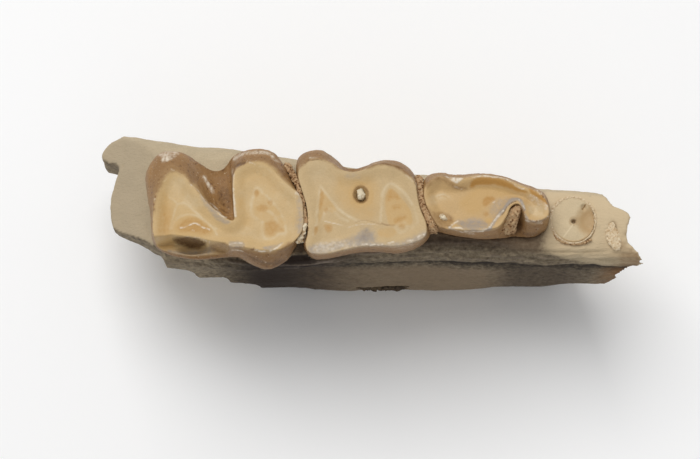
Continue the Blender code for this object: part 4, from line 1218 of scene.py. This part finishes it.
@dataclass
class BrokenRoot:
    """The root of the premolar ahead, snapped off level with the bone, with its pulp hole."""

    finish: Finish
    centre: tuple[float, float] = STUMP_MIDDLE
    radii: tuple[float, float] = (1.07, 1.12)
    top: float = 9.38
    tip: float = 4.6
    dome: float = 0.05
    pitch: float = 0.035
    pulp_hole: Pit = (0.02, -0.07, 0.13, 0.10, 0.28)
    notch: Pit = (0.54, 0.66, 0.12, 0.14, 0.16)
    scar_middle: tuple[float, float] = (0.86, -0.05)
    scar_radii: tuple[float, float] = (0.92, 0.98)
    scar_depth: float = 0.20
    cracks: tuple = (((0.46, 0.56), (0.62, 0.78)),)
    chips: tuple = (((-0.04, -0.28), (-0.26, -0.56), (-0.50, -0.86)),)

    def scar_reach(self, away: np.ndarray) -> np.ndarray:
        """How far each place lies from the scar's middle, 1 at its border."""
        return np.linalg.norm((away - self.scar_middle) / self.scar_radii, axis=1)

    def add(self, effects: Effects) -> bpy.types.Object:
        """Builds the root and dresses it.

        Args:
            effects: the node groups that its finish places.

        Returns:
            The root.
        """
        skin, rough = Skin(), Roughening(5)
        rim = add_root(skin, self.centre, self.radii, self.top, self.tip)

        def height(points: np.ndarray) -> np.ndarray:
            """The height of the broken face.

            Args:
                points: places in the plane.

            Returns:
                The height at each place.
            """
            away = points - self.centre
            z = self.top + self.dome * (1 - ((away / self.radii) ** 2).sum(axis=1))
            z -= hollow(away, self.pulp_hole) + hollow(away, self.notch)
            z -= self.scar_depth * smooth_step(self.scar_reach(away), 1.0, 0.2)
            return z + 0.02 * rough.at(np.column_stack([points, z]), 0.35, 3)

        skin.fill(rim, self.pitch, height)
        piece = skin.made("broken_root_face")
        points = row_points(piece)
        away = points[:, :2] - self.centre
        upward = smooth_step(points[:, 2], self.top - 0.4, self.top - 0.1)
        reach = np.linalg.norm(away / self.radii, axis=1)
        hole = np.linalg.norm(away - self.pulp_hole[:2], axis=1)
        keep_mask(piece, "pulp", smooth_step(hole, 0.14, 0.05) * upward)
        keep_mask(piece, "ring", np.exp(-(((hole - 0.20) / 0.05) ** 2)) * upward * 0.5)
        # painted shade: the scar's hollow on the broken face is painted darker
        keep_mask(piece, "scar", smooth_step(self.scar_reach(away), 1.0, 0.45) * upward)
        at = away + 0.02 * np.column_stack([rough.at(points, 0.2), rough.at(points + 7.0, 0.2)])
        for name, lines in (("crack", self.cracks), ("chip", self.chips)):
            cover = np.zeros(len(points))
            for drawn in lines:
                off = distance_to(at, np.array(drawn), closed=False)
                cover = np.maximum(cover, 1 - smooth_step(off, 0.01, 0.05))
            keep_mask(piece, name, cover * upward)
        lower_right = smooth_step(away[:, 0] - away[:, 1], -1.1, 0.9)
        keep_mask(piece, "rim", smooth_step(reach, 0.90, 0.99) * lower_right)
        return dressed(piece, self.finish.material(effects), "root", "broken_root")


@dataclass
class Jawbone:
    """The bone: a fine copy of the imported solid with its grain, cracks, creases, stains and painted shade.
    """

    finish: Finish
    voxel: float = 0.10
    smoothing: int = 2
    crease_height: float = 6.9
    crease_width: float = 0.64
    dark_top: float = 8.95

    def add(self, effects: Effects) -> bpy.types.Object:
        """Builds the bone and dresses it.

        Args:
            effects: the node groups that its finish places.

        Returns:
            The bone.
        """
        piece = bpy.data.objects.new("jawbone_block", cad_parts["jawbone"].data.copy())
        bpy.context.scene.collection.objects.link(piece)
        remeshed(piece, self.voxel * (1), self.smoothing)
        rough, other = Roughening(11), Roughening(12)
        points, normals = row_points(piece), normals_of(piece)
        x, z = points[:, 0], points[:, 2]
        tongue = smooth_step(-normals[:, 1], 0.10, 0.55)
        wave = 0.35 * rough.at(points * (1, 0, 0), 5.0, 2)
        rise = 0.3 * smooth_step(x, 8.0, 5.0) - 1.2 * smooth_step(x, 8.7, 11.5)
        band = smooth_step(z + wave - rise, self.dark_top + 0.3, self.dark_top - 0.15)
        front = smooth_step(x, 9.5, 13.0)
        rear = smooth_step(x, -5.6, -8.8)
        from_crease = (z - self.crease_height + wave) / self.crease_width
        crease = tongue * np.exp(-(from_crease**2)) * (1 - rear)
        fibres = rough.at(points, (2.2, 0.5, 0.13), 3)
        upper = smooth_step(z, 6.7, 7.5)
        relief = 0.05 * rough.at(points, 1.1, 3) + 0.022 * other.at(points, 0.28, 3)
        firm = 1 - 0.85 * smooth_step(x, 12.3, 13.4)
        relief += tongue * upper * firm * (0.14 * fibres + 0.10 * other.at(points, (0.8, 0.4, 0.28), 3))
        relief -= 0.14 * crease * firm
        pits = smooth_step(other.at(points, 0.42, 1), 0.72, 0.95)
        relief -= 0.04 * pits
        clear = smooth_step(z, 0.05, 0.5)
        set_row_points(piece, points + normals * (relief * clear)[:, None])
        # dark stain and painted shade: the tongue-side face, turned away from the window light, is painted
        # dark below the margin, most under the molars
        under_molars = smooth_step(x, 1.0, -3.0)
        under_premolars = smooth_step(x, 5.0, 7.5)
        depth = 0.62 + 0.38 * under_molars + 0.26 * under_premolars * smooth_step(z + wave, 6.9, 6.3)
        keep_mask(piece, "dark", tongue * band * (1 - 0.35 * front) * (1 - 0.45 * rear) * depth)
        keep_mask(piece, "strip", tongue * smooth_step(z + wave, 6.3, 5.6) * smooth_step(x, -5.0, 1.5)
                  * (1 - 0.85 * under_premolars) * 0.8)
        # painted shade: the crease along the tongue-side face is painted near black over its dent
        keep_mask(piece, "crease", crease)
        keep_mask(piece, "streak", tongue * band * smooth_step(fibres, 0.05, 0.6) * (1 - front) * upper * 0.6)
        tip = smooth_step(x + rough.at(points, 2.0, 2), 11.0, 13.6)
        keep_mask(piece, "warm", tip * tongue * (1 - 0.4 * upper))
        up = smooth_step(normals[:, 2], 0.3, 0.8)
        keep_mask(piece, "pale", up * smooth_step(x, 4.0, 9.5))
        keep_mask(piece, "rear", smooth_step(x, -9.5, -12.5) * up)
        # painted shade: the bone just below the crowns' tongue-side edge is painted dark where the crowns
        # shade it
        near_teeth = smooth_step(points[:, 1], -1.9, -1.5) * smooth_step(z, 8.5, 9.0)
        near_teeth = near_teeth * smooth_step(x, 8.9, 8.2)
        keep_mask(piece, "shade_under_crowns", near_teeth * smooth_step(x, -4.2, -3.6) * 0.9)
        # painted shade: the small dents are painted a little darker
        keep_mask(piece, "pit", pits * (1 - tongue))
        hidden = smooth_step(z, 5.0, 1.5) * (1 - tongue)
        keep_mask(piece, "foot", hidden * smooth_step(rough.at(points, 2.4, 3), -0.5, 0.5))
        return dressed(piece, self.finish.material(effects), "bone", "jawbone")


@dataclass
class GritSeam:
    """Hardened sand packed along a line: its path of (x, y, half width, top), depth and grain sizes."""

    name: str
    finish: Finish
    path: list[tuple[float, float, float, float]]
    depth: float
    grains: int
    sizes: tuple[float, float] = (0.035, 0.095)
    voxel: float = 0.038
    smoothing: int = 1
    seed: int = 1

    def add(self, effects: Effects) -> bpy.types.Object:
        """Packs the grains, joins them into one skin and dresses it.

        Args:
            effects: the node groups that its finish places.

        Returns:
            The seam.
        """
        draw = np.random.default_rng(self.seed)
        spine = curve_through(self.path, 12, closed=False)
        skin = Skin()
        ball = np.array([Vector(v).normalized()[:] for v in itertools.product((-1, 1), repeat=3)])
        quads = [(0, 1, 3, 2), (4, 6, 7, 5), (0, 4, 5, 1), (2, 3, 7, 6), (0, 2, 6, 4), (1, 5, 7, 3)]
        tones = []
        for _ in range(self.grains):
            x, y, half, top = spine[draw.integers(len(spine))]
            size = draw.uniform(*self.sizes)
            angle = draw.uniform(0, 2 * math.pi)
            off = half * math.sqrt(draw.random())
            share = draw.random() ** 1.6
            centre = np.array([x + off * math.cos(angle), y + off * math.sin(angle) / 2,
                               top - self.depth * share])
            turn = np.linalg.qr(draw.normal(size=(3, 3)))[0]
            shape = ball * draw.uniform(0.75, 1.3, 3) * size * 1.35
            numbers = skin.ring(centre + (shape + draw.normal(0, 0.12 * size, shape.shape)) @ turn)
            skin.faces += [[int(numbers[i]) for i in quad] for quad in quads]
            tones.append((*centre, draw.random()))
        piece = remeshed(skin.made(self.name), self.voxel, self.smoothing)
        points = row_points(piece)
        known = np.array(tones)
        near = np.concatenate([np.linalg.norm(part[:, None] - known[:, :3], axis=-1).argmin(axis=1)
                               for part in in_parts(points)])
        keep_mask(piece, "crystal", smooth_step(known[near, 3], 0.62, 0.9))
        keep_mask(piece, "rust", smooth_step(known[near, 3], 0.35, 0.1))
        return dressed(piece, self.finish.material(effects), "bone")


@dataclass
class Studio:
    """A pale floor, soft lights and the camera above the tooth row."""

    floor_size: float = 0.9
    distance: float = 0.17
    key_power: float = 0.75
    fill_power: float = 0.04
    sky: float = 0.45

    def light(self, name: str, place: tuple[float, float, float], size: float, power: float) -> None:
        """Adds one square soft light aimed at the object.

        Args:
            name: the light's name.
            place: where it hangs, in metres.
            size: the length of its side in metres.
            power: its power in watts.
        """
        data = bpy.data.lights.new(name, "AREA")
        data.size, data.energy = size, power
        lamp = bpy.data.objects.new(name, data)
        lamp.location = place
        aim = Vector((0, 0, 6 * MM)) - lamp.location
        lamp.rotation_euler = aim.to_track_quat("-Z", "Y").to_euler()
        bpy.context.scene.collection.objects.link(lamp)

    def add(self) -> None:
        """Lays the floor and sets the lights, the background and the camera."""
        half = self.floor_size / 2
        mesh = bpy.data.meshes.new("studio_floor")
        corners = [(-half, -half, 0), (half, -half, 0), (half, half, 0), (-half, half, 0)]
        mesh.from_pydata(corners, [], [(0, 1, 2, 3)])
        floor = bpy.data.objects.new("studio_floor", mesh)
        bpy.context.scene.collection.objects.link(floor)
        paper = bpy.data.materials.new("pale_paper")
        paper.use_nodes = True
        shader = paper.node_tree.nodes["Principled BSDF"]
        shader.inputs["Base Color"].default_value = (0.95, 0.95, 0.95, 1)
        shader.inputs["Roughness"].default_value = 0.9
        mesh.materials.append(paper)
        self.light("window_light", (-0.06, 0.14, 0.30), 0.22, self.key_power)
        self.light("front_fill", (0.08, -0.25, 0.20), 0.25, self.fill_power)
        world = bpy.data.worlds.new("studio")
        world.use_nodes = True
        world.node_tree.nodes["Background"].inputs[0].default_value = (1, 1, 1, 1)
        world.node_tree.nodes["Background"].inputs[1].default_value = self.sky
        scene = bpy.context.scene
        scene.world = world
        scene.view_settings.view_transform = "Standard"
        self.camera()

    def camera(self) -> None:
        """Stands the camera where the row fills the frame as it should."""
        right = np.array([1.0, 0.0, 0.0])
        up = np.array([0.0, math.sin(LOOK_DOWN), math.cos(LOOK_DOWN)])
        middle = np.array([0.0, -ROW_TO_MIDDLE, CHEWING_HEIGHT])
        middle += right * (PHOTO_WIDTH / 2 - ROW_ZERO_ACROSS) / PIXELS_PER_MM
        middle += up * (ROW_ZERO_DOWN - PHOTO_HEIGHT / 2) / PIXELS_PER_MM
        data = bpy.data.cameras.new("photo_camera")
        data.sensor_width = 36.0
        data.lens = data.sensor_width * self.distance / (PHOTO_WIDTH / PIXELS_PER_MM * MM)
        data.clip_start = 0.01
        camera = bpy.data.objects.new("photo_camera", data)
        camera.location = middle * MM + TOWARDS_VIEW * self.distance
        camera.rotation_euler = (math.pi / 2 - LOOK_DOWN, 0, 0)
        bpy.context.scene.collection.objects.link(camera)
        bpy.context.scene.camera = camera


# This jaw's own measures and colours


SECOND_MOLAR_OUTLINE = [
    (-10.67, -1.45, -10.81, -1.32), (-10.76, -0.25, -10.96, 0.09), (-10.67, 0.71, -11.16, 1.16),
    (-10.42, 1.52, -11.20, 2.27), (-9.88, 2.07, -10.52, 3.25), (-9.29, 1.82, -9.43, 3.28),
    (-8.79, 1.21, -8.65, 2.80), (-8.25, 0.56, -8.20, 2.50), (-7.61, -0.05, -7.86, 2.36),
    (-7.07, -0.46, -7.58, 2.36), (-6.77, -0.46, -7.32, 2.50), (-6.79, 0.25, -7.12, 2.74),
    (-6.84, 1.11, -6.93, 3.03), (-6.77, 1.92, -6.60, 3.28), (-6.28, 2.38, -6.03, 3.43),
    (-5.59, 2.48, -5.30, 3.43), (-4.95, 2.17, -4.70, 3.12), (-4.36, 1.52, -4.20, 2.30),
    (-3.52, 0.71, -3.72, 1.30), (-3.36, -0.15, -3.36, 0.35), (-3.40, -1.01, -3.33, -0.62),
    (-3.90, -1.68, -3.74, -1.48), (-4.56, -2.02, -4.26, -2.25), (-5.39, -2.04, -5.15, -2.64),
    (-6.18, -1.92, -5.99, -2.36), (-6.87, -1.90, -6.67, -2.02), (-7.86, -1.96, -7.81, -2.10),
    (-8.94, -2.02, -8.94, -2.14), (-9.93, -1.88, -10.10, -1.88),
]
FIRST_MOLAR_OUTLINE = [
    (-2.98, -2.20, -2.93, -2.08), (-3.24, -1.82, -3.36, -1.47), (-3.14, -1.21, -3.20, -0.87),
    (-3.13, -0.51, -3.20, -0.11), (-3.24, 0.35, -3.27, 0.75), (-3.46, 1.11, -3.54, 1.55),
    (-3.62, 1.77, -3.74, 2.30), (-3.47, 2.22, -3.64, 2.98), (-3.03, 2.53, -3.13, 3.33),
    (-2.44, 2.58, -2.44, 3.38), (-1.90, 2.38, -1.80, 3.00), (-1.45, 2.07, -1.35, 2.56),
    (-0.96, 1.97, -0.91, 2.46), (-0.42, 2.07, -0.37, 2.57), (0.12, 2.33, 0.17, 2.82),
    (0.71, 2.38, 0.76, 2.87), (1.31, 2.22, 1.40, 2.77), (1.85, 1.82, 1.98, 2.37),
    (2.17, 1.26, 2.28, 1.80), (2.28, 0.56, 2.37, 1.00), (2.46, -0.10, 2.58, 0.22),
    (2.69, -0.71, 2.86, -0.44), (2.64, -1.31, 2.86, -1.04), (2.04, -1.67, 2.24, -1.57),
    (1.21, -1.84, 1.31, -1.84), (0.32, -1.82, 0.42, -1.77), (-0.52, -1.87, -0.52, -1.78),
    (-1.35, -2.03, -1.40, -1.93), (-2.19, -2.22, -2.19, -2.10),
]
LAST_PREMOLAR_OUTLINE = [
    (3.27, -0.80, 3.22, -0.66), (2.93, -0.25, 2.80, -0.05), (2.67, 0.35, 2.56, 0.68),
    (2.60, 1.01, 2.52, 1.42), (2.88, 1.47, 2.75, 2.00), (3.42, 1.72, 3.37, 2.22),
    (4.01, 1.56, 4.01, 2.12), (4.66, 1.64, 4.66, 2.12), (5.34, 1.76, 5.34, 2.17),
    (6.08, 1.71, 6.08, 2.12), (6.77, 1.54, 6.77, 1.96), (7.36, 1.26, 7.41, 1.70),
    (7.96, 1.03, 8.05, 1.47), (8.47, 0.72, 8.60, 1.12), (8.70, 0.20, 8.83, 0.56),
    (8.70, -0.26, 8.84, -0.05), (8.40, -0.50, 8.66, -0.60), (7.98, -0.60, 8.25, -0.92),
    (7.58, -0.42, 7.82, -1.02), (7.46, 0.05, 7.50, -1.00), (7.22, 0.32, 7.20, -0.98),
    (6.88, 0.18, 6.90, -1.00), (6.62, -0.35, 6.60, -1.05), (6.25, -0.85, 6.15, -1.08),
    (5.59, -1.02, 5.49, -1.11), (4.75, -1.04, 4.66, -1.02), (3.97, -1.00, 3.87, -0.87),
    (3.56, -0.94, 3.52, -0.78),
]
BROKEN_CORNER = [(-11.2, -1.50), (-9.85, -1.26), (-8.45, -1.46), (-7.20, -1.70), (-6.75, -2.10), (-6.9, -3.2),
    (-11.2, -3.2)]
DENTINE_LAYERS = (
    Layer("gold", linear(196, 160, 104), 0.35, 3.0),
    Layer("ivory", linear(212, 194, 160), 0.4, 5.0),
    Layer("amber", linear(178, 132, 68), 0.5, 6.0),
    Layer("grey", linear(156, 146, 136), 0.7, 5.0),
    Layer("wall", linear(153, 116, 72), 0.5, 5.0),
    # painted shade low on the enamel walls
    Layer("low_wall_shade", linear(124, 90, 54), 0.6, 5.0),
    Layer("enamel", linear(140, 106, 68), 0.6, 6.0),
    Layer("wall", linear(110, 76, 44), 0.45, 4.5, Laid.FLECKED),
    Layer("enamel", linear(112, 80, 48), 0.45, 6.0, Laid.FLECKED),
    Layer("wall", linear(206, 186, 156), 0.32, 11.0, Laid.FLECKED),
    # dark cracks, and painted shade in holes and under the crown's edge
    Layer("dark", linear(88, 60, 34), 0.6, 6.0),
    Layer("edge", linear(134, 100, 64), 0.8, 6.0, Laid.FLECKED),
    # pale rim flecks: chalky enamel and painted highlight
    Layer("edge", linear(208, 190, 162), 0.55, 9.0, Laid.FLECKED),
    # chalky enamel, and painted highlights where the worn ridges glint
    Layer("chalk_and_highlight", linear(226, 214, 194), 0.7, 7.0),
    Layer("root", linear(176, 152, 118), 0.3, 3.0),
)
SECOND_MOLAR_FINISH = Finish("second_molar_fossil", linear(197, 167, 119), DENTINE_LAYERS)
FIRST_MOLAR_FINISH = Finish("first_molar_fossil", linear(193, 167, 125), DENTINE_LAYERS)
LAST_PREMOLAR_FINISH = Finish("last_premolar_fossil", linear(195, 163, 115), DENTINE_LAYERS)
ROOT_FINISH = Finish("broken_root_fossil", linear(204, 184, 149), (
    # painted shade in the scar's hollow
    Layer("scar", linear(184, 154, 112), 0.5, 6.0),
    Layer("rim", linear(188, 158, 116), 0.6, 6.0),
    Layer("ring", linear(168, 138, 98), 0.6, 8.0),
    Layer("chip", linear(216, 198, 164), 0.5, 8.0),
    Layer("crack", linear(138, 104, 64), 0.5, 8.0),
    Layer("pulp", linear(104, 72, 42), 0.3, 8.0),
), roughness=0.5)
BONE_FINISH = Finish("fossil_bone", linear(186, 169, 140), (
    Layer("foot", linear(158, 138, 110), 0.5, 2.0),
    Layer("rear", linear(178, 162, 136), 0.5, 2.0),
    Layer("pale", linear(205, 184, 150), 0.4, 2.0),
    # painted shade under the crowns
    Layer("shade_under_crowns", linear(108, 90, 72), 0.6, 6.0),
    # dark stain and painted shade on the tongue-side face
    Layer("dark", linear(54, 45, 39), 0.6, 4.0),
    Layer("strip", linear(134, 116, 94), 0.5, 3.0),
    Layer("streak", linear(140, 126, 112), 0.7, 5.0),
    Layer("warm", linear(130, 93, 55), 0.5, 3.0),
    # painted shade in the crease
    Layer("crease", linear(40, 33, 27), 0.5, 4.0),
    # painted shade in the small dents
    Layer("pit", linear(178, 161, 133), 0.7, 5.0),
), clouds=0.16, specks=0.18, roughness=0.72, grain_scale=9.0, grain_stretch=2.2, grain_depth=0.06, shine=0.12)
GRIT_FINISH = Finish("hardened_grit", linear(182, 148, 110), (
    Layer("rust", linear(116, 80, 48), 0.5, 8.0),
    Layer("crystal", linear(194, 166, 128), 0.5, 9.0),
), clouds=0.25, cloud_scale=2.5, specks=0.3, roughness=0.7, grain_scale=16.0, grain_depth=0.04, shine=0.15)
CRYSTAL_FINISH = Finish("pocket_crystal", linear(214, 200, 172), (
    Layer("rust", linear(178, 152, 116), 0.5, 8.0),
    Layer("crystal", linear(228, 216, 190), 0.5, 9.0),
), specks=0.2, roughness=0.4, grain_scale=14.0, grain_depth=0.02)
SOCKET_FINISH = Finish("socket_sinter", linear(208, 186, 152), (
    Layer("rust", linear(186, 158, 122), 0.5, 8.0),
    Layer("crystal", linear(220, 202, 172), 0.5, 9.0),
), specks=0.2, roughness=0.6, grain_scale=14.0, grain_depth=0.03, shine=0.12)
CRUST_FINISH = Finish("dark_crust", linear(78, 66, 53), (
    Layer("rust", linear(60, 50, 40)),
    Layer("crystal", linear(94, 80, 62)),
), specks=0.3, roughness=0.85, grain_scale=14.0, grain_depth=0.05, shine=0.1)


def teeth() -> list[Tooth]:
    """The three worn teeth.

    Returns:
        The teeth, from the rear.
    """
    return [
        Tooth("second_molar", "molar", SECOND_MOLAR_FINISH, SECOND_MOLAR_OUTLINE, (7, 12),
              [(-9.1, 0.75, 1.15, 1.45, 5.4), (-5.35, 0.55, 1.20, 1.60, 3.4)],
              0.20, 0.7, SECOND_MOLAR_MARKS, BROKEN_CORNER, [(-8.85, -1.72, 0.62, 0.26, 0.55)], seed=21),
        Tooth("first_molar", "molar", FIRST_MOLAR_FINISH, FIRST_MOLAR_OUTLINE, (11, 13),
              [(-1.85, 0.50, 0.95, 1.30, 3.2), (1.25, 0.40, 0.85, 1.10, 3.4)],
              0.16, 0.8, FIRST_MOLAR_MARKS, pits=[(-0.53, 0.81, 0.27, 0.33, 0.45)], seed=22),
        Tooth("last_premolar", "premolar", LAST_PREMOLAR_FINISH, LAST_PREMOLAR_OUTLINE, (19, 22),
              [(4.15, 0.55, 0.85, 0.95, 4.0), (7.50, 0.25, 0.80, 0.70, 4.4)],
              0.34, 0.65, LAST_PREMOLAR_MARKS, seed=23),
    ]


def round_stump() -> list[tuple[float, float, float, float]]:
    """The path of the sinter round the broken root, widest and highest at its upper left.

    Returns:
        The path's x, y, half width and top at each step.
    """
    path = []
    for turn in np.linspace(0, 2 * math.pi, 17):
        swell = math.cos(turn - 2.36)
        path.append((STUMP_MIDDLE[0] + 1.115 * math.cos(turn), STUMP_MIDDLE[1] + 1.165 * math.sin(turn),
                     0.07 + 0.03 * swell, 9.35 + 0.015 * swell))
    return path


def grit_seams() -> list[GritSeam]:
    """The grit between the teeth, in the fold, in the broken sockets and along the lower border.

    Returns:
        The seams, in the order in which they are built.
    """
    return [
        GritSeam("grit_between_molars", GRIT_FINISH,
                 [(-4.20, 2.70, 0.20, 9.7), (-3.92, 2.05, 0.18, 10.3), (-3.66, 1.38, 0.14, 10.8),
                  (-3.42, 0.60, 0.11, 10.98), (-3.29, -0.20, 0.10, 11.02), (-3.28, -0.80, 0.11, 11.04)],
                 0.7, 2600, (0.018, 0.05), 0.028, seed=31),
        GritSeam("crystals_between_molars", CRYSTAL_FINISH,
                 [(-3.28, -0.70, 0.06, 11.14), (-3.36, -1.05, 0.10, 11.12), (-3.55, -1.55, 0.15, 11.0)],
                 0.5, 150, (0.04, 0.10), seed=38),
        GritSeam("grit_before_premolar", GRIT_FINISH,
                 [(2.34, 1.95, 0.20, 10.0), (2.38, 1.48, 0.20, 10.5), (2.46, 0.74, 0.19, 10.8),
                  (2.58, 0.25, 0.18, 10.9), (2.78, -0.25, 0.18, 11.0), (2.98, -0.62, 0.22, 11.0),
                  (3.04, -0.84, 0.24, 10.8)],
                 0.8, 3400, (0.022, 0.06), 0.030, seed=32),
        GritSeam("crystal_before_premolar", CRYSTAL_FINISH,
                 [(3.44, -0.28, 0.05, 11.02), (3.62, -0.42, 0.06, 11.02)],
                 0.3, 36, (0.08, 0.13), seed=39),
        GritSeam("grit_in_fold", GRIT_FINISH,
                 [(7.20, 0.22, 0.17, 10.98), (7.07, -0.02, 0.26, 10.94), (6.92, -0.26, 0.34, 10.80),
                  (6.80, -0.50, 0.38, 10.55), (6.76, -0.72, 0.40, 10.2)], 1.0, 4200, (0.03, 0.075), seed=33),
        GritSeam("enamel_pocket_crystal", CRYSTAL_FINISH,
                 [(-0.54, 0.94, 0.06, 11.10), (-0.50, 0.70, 0.07, 11.10)],
                 0.4, 60, (0.08, 0.14), seed=34),
        GritSeam("grit_round_broken_root", GRIT_FINISH,
                 [(9.05, -0.78, 0.05, 9.33), (9.28, -1.04, 0.07, 9.33), (9.64, -1.22, 0.08, 9.33),
                  (10.14, -1.29, 0.08, 9.33), (10.6, -1.22, 0.08, 9.33), (10.92, -1.06, 0.05, 9.33)],
                 0.3, 420, (0.02, 0.05), 0.028, seed=35),
        GritSeam("sinter_round_broken_root", SOCKET_FINISH, round_stump(),
                 0.2, 2600, (0.025, 0.045), 0.030, 6, seed=40),
        GritSeam("front_socket_crystals", SOCKET_FINISH,
                 [(11.88, -0.20, 0.20, 9.24), (11.94, -0.60, 0.32, 9.26), (12.06, -1.05, 0.32, 9.26),
                  (12.22, -1.45, 0.20, 9.22)], 0.35, 1700, (0.03, 0.08), seed=36),
        GritSeam("lower_border_crust", CRUST_FINISH,
                 [(-1.0, -1.95, 0.10, 3.2), (-0.3, -2.05, 0.15, 3.0), (0.8, -2.07, 0.15, 2.95),
                  (1.5, -2.05, 0.13, 2.95), (2.1, -1.95, 0.08, 3.1)], 0.6, 520, (0.05, 0.13), seed=37),
    ]


def main() -> None:
    """Builds each piece in order and reports it."""
    logging.basicConfig(level=logging.INFO, format="%(name)s %(message)s", stream=sys.stdout)
    effects = Effects()
    Studio().add()
    for tooth in teeth():
        tooth.add(effects)
    BrokenRoot(ROOT_FINISH).add(effects)
    Jawbone(BONE_FINISH).add(effects)
    for seam in grit_seams():
        seam.add(effects)


if __name__ == "__main__":
    main()
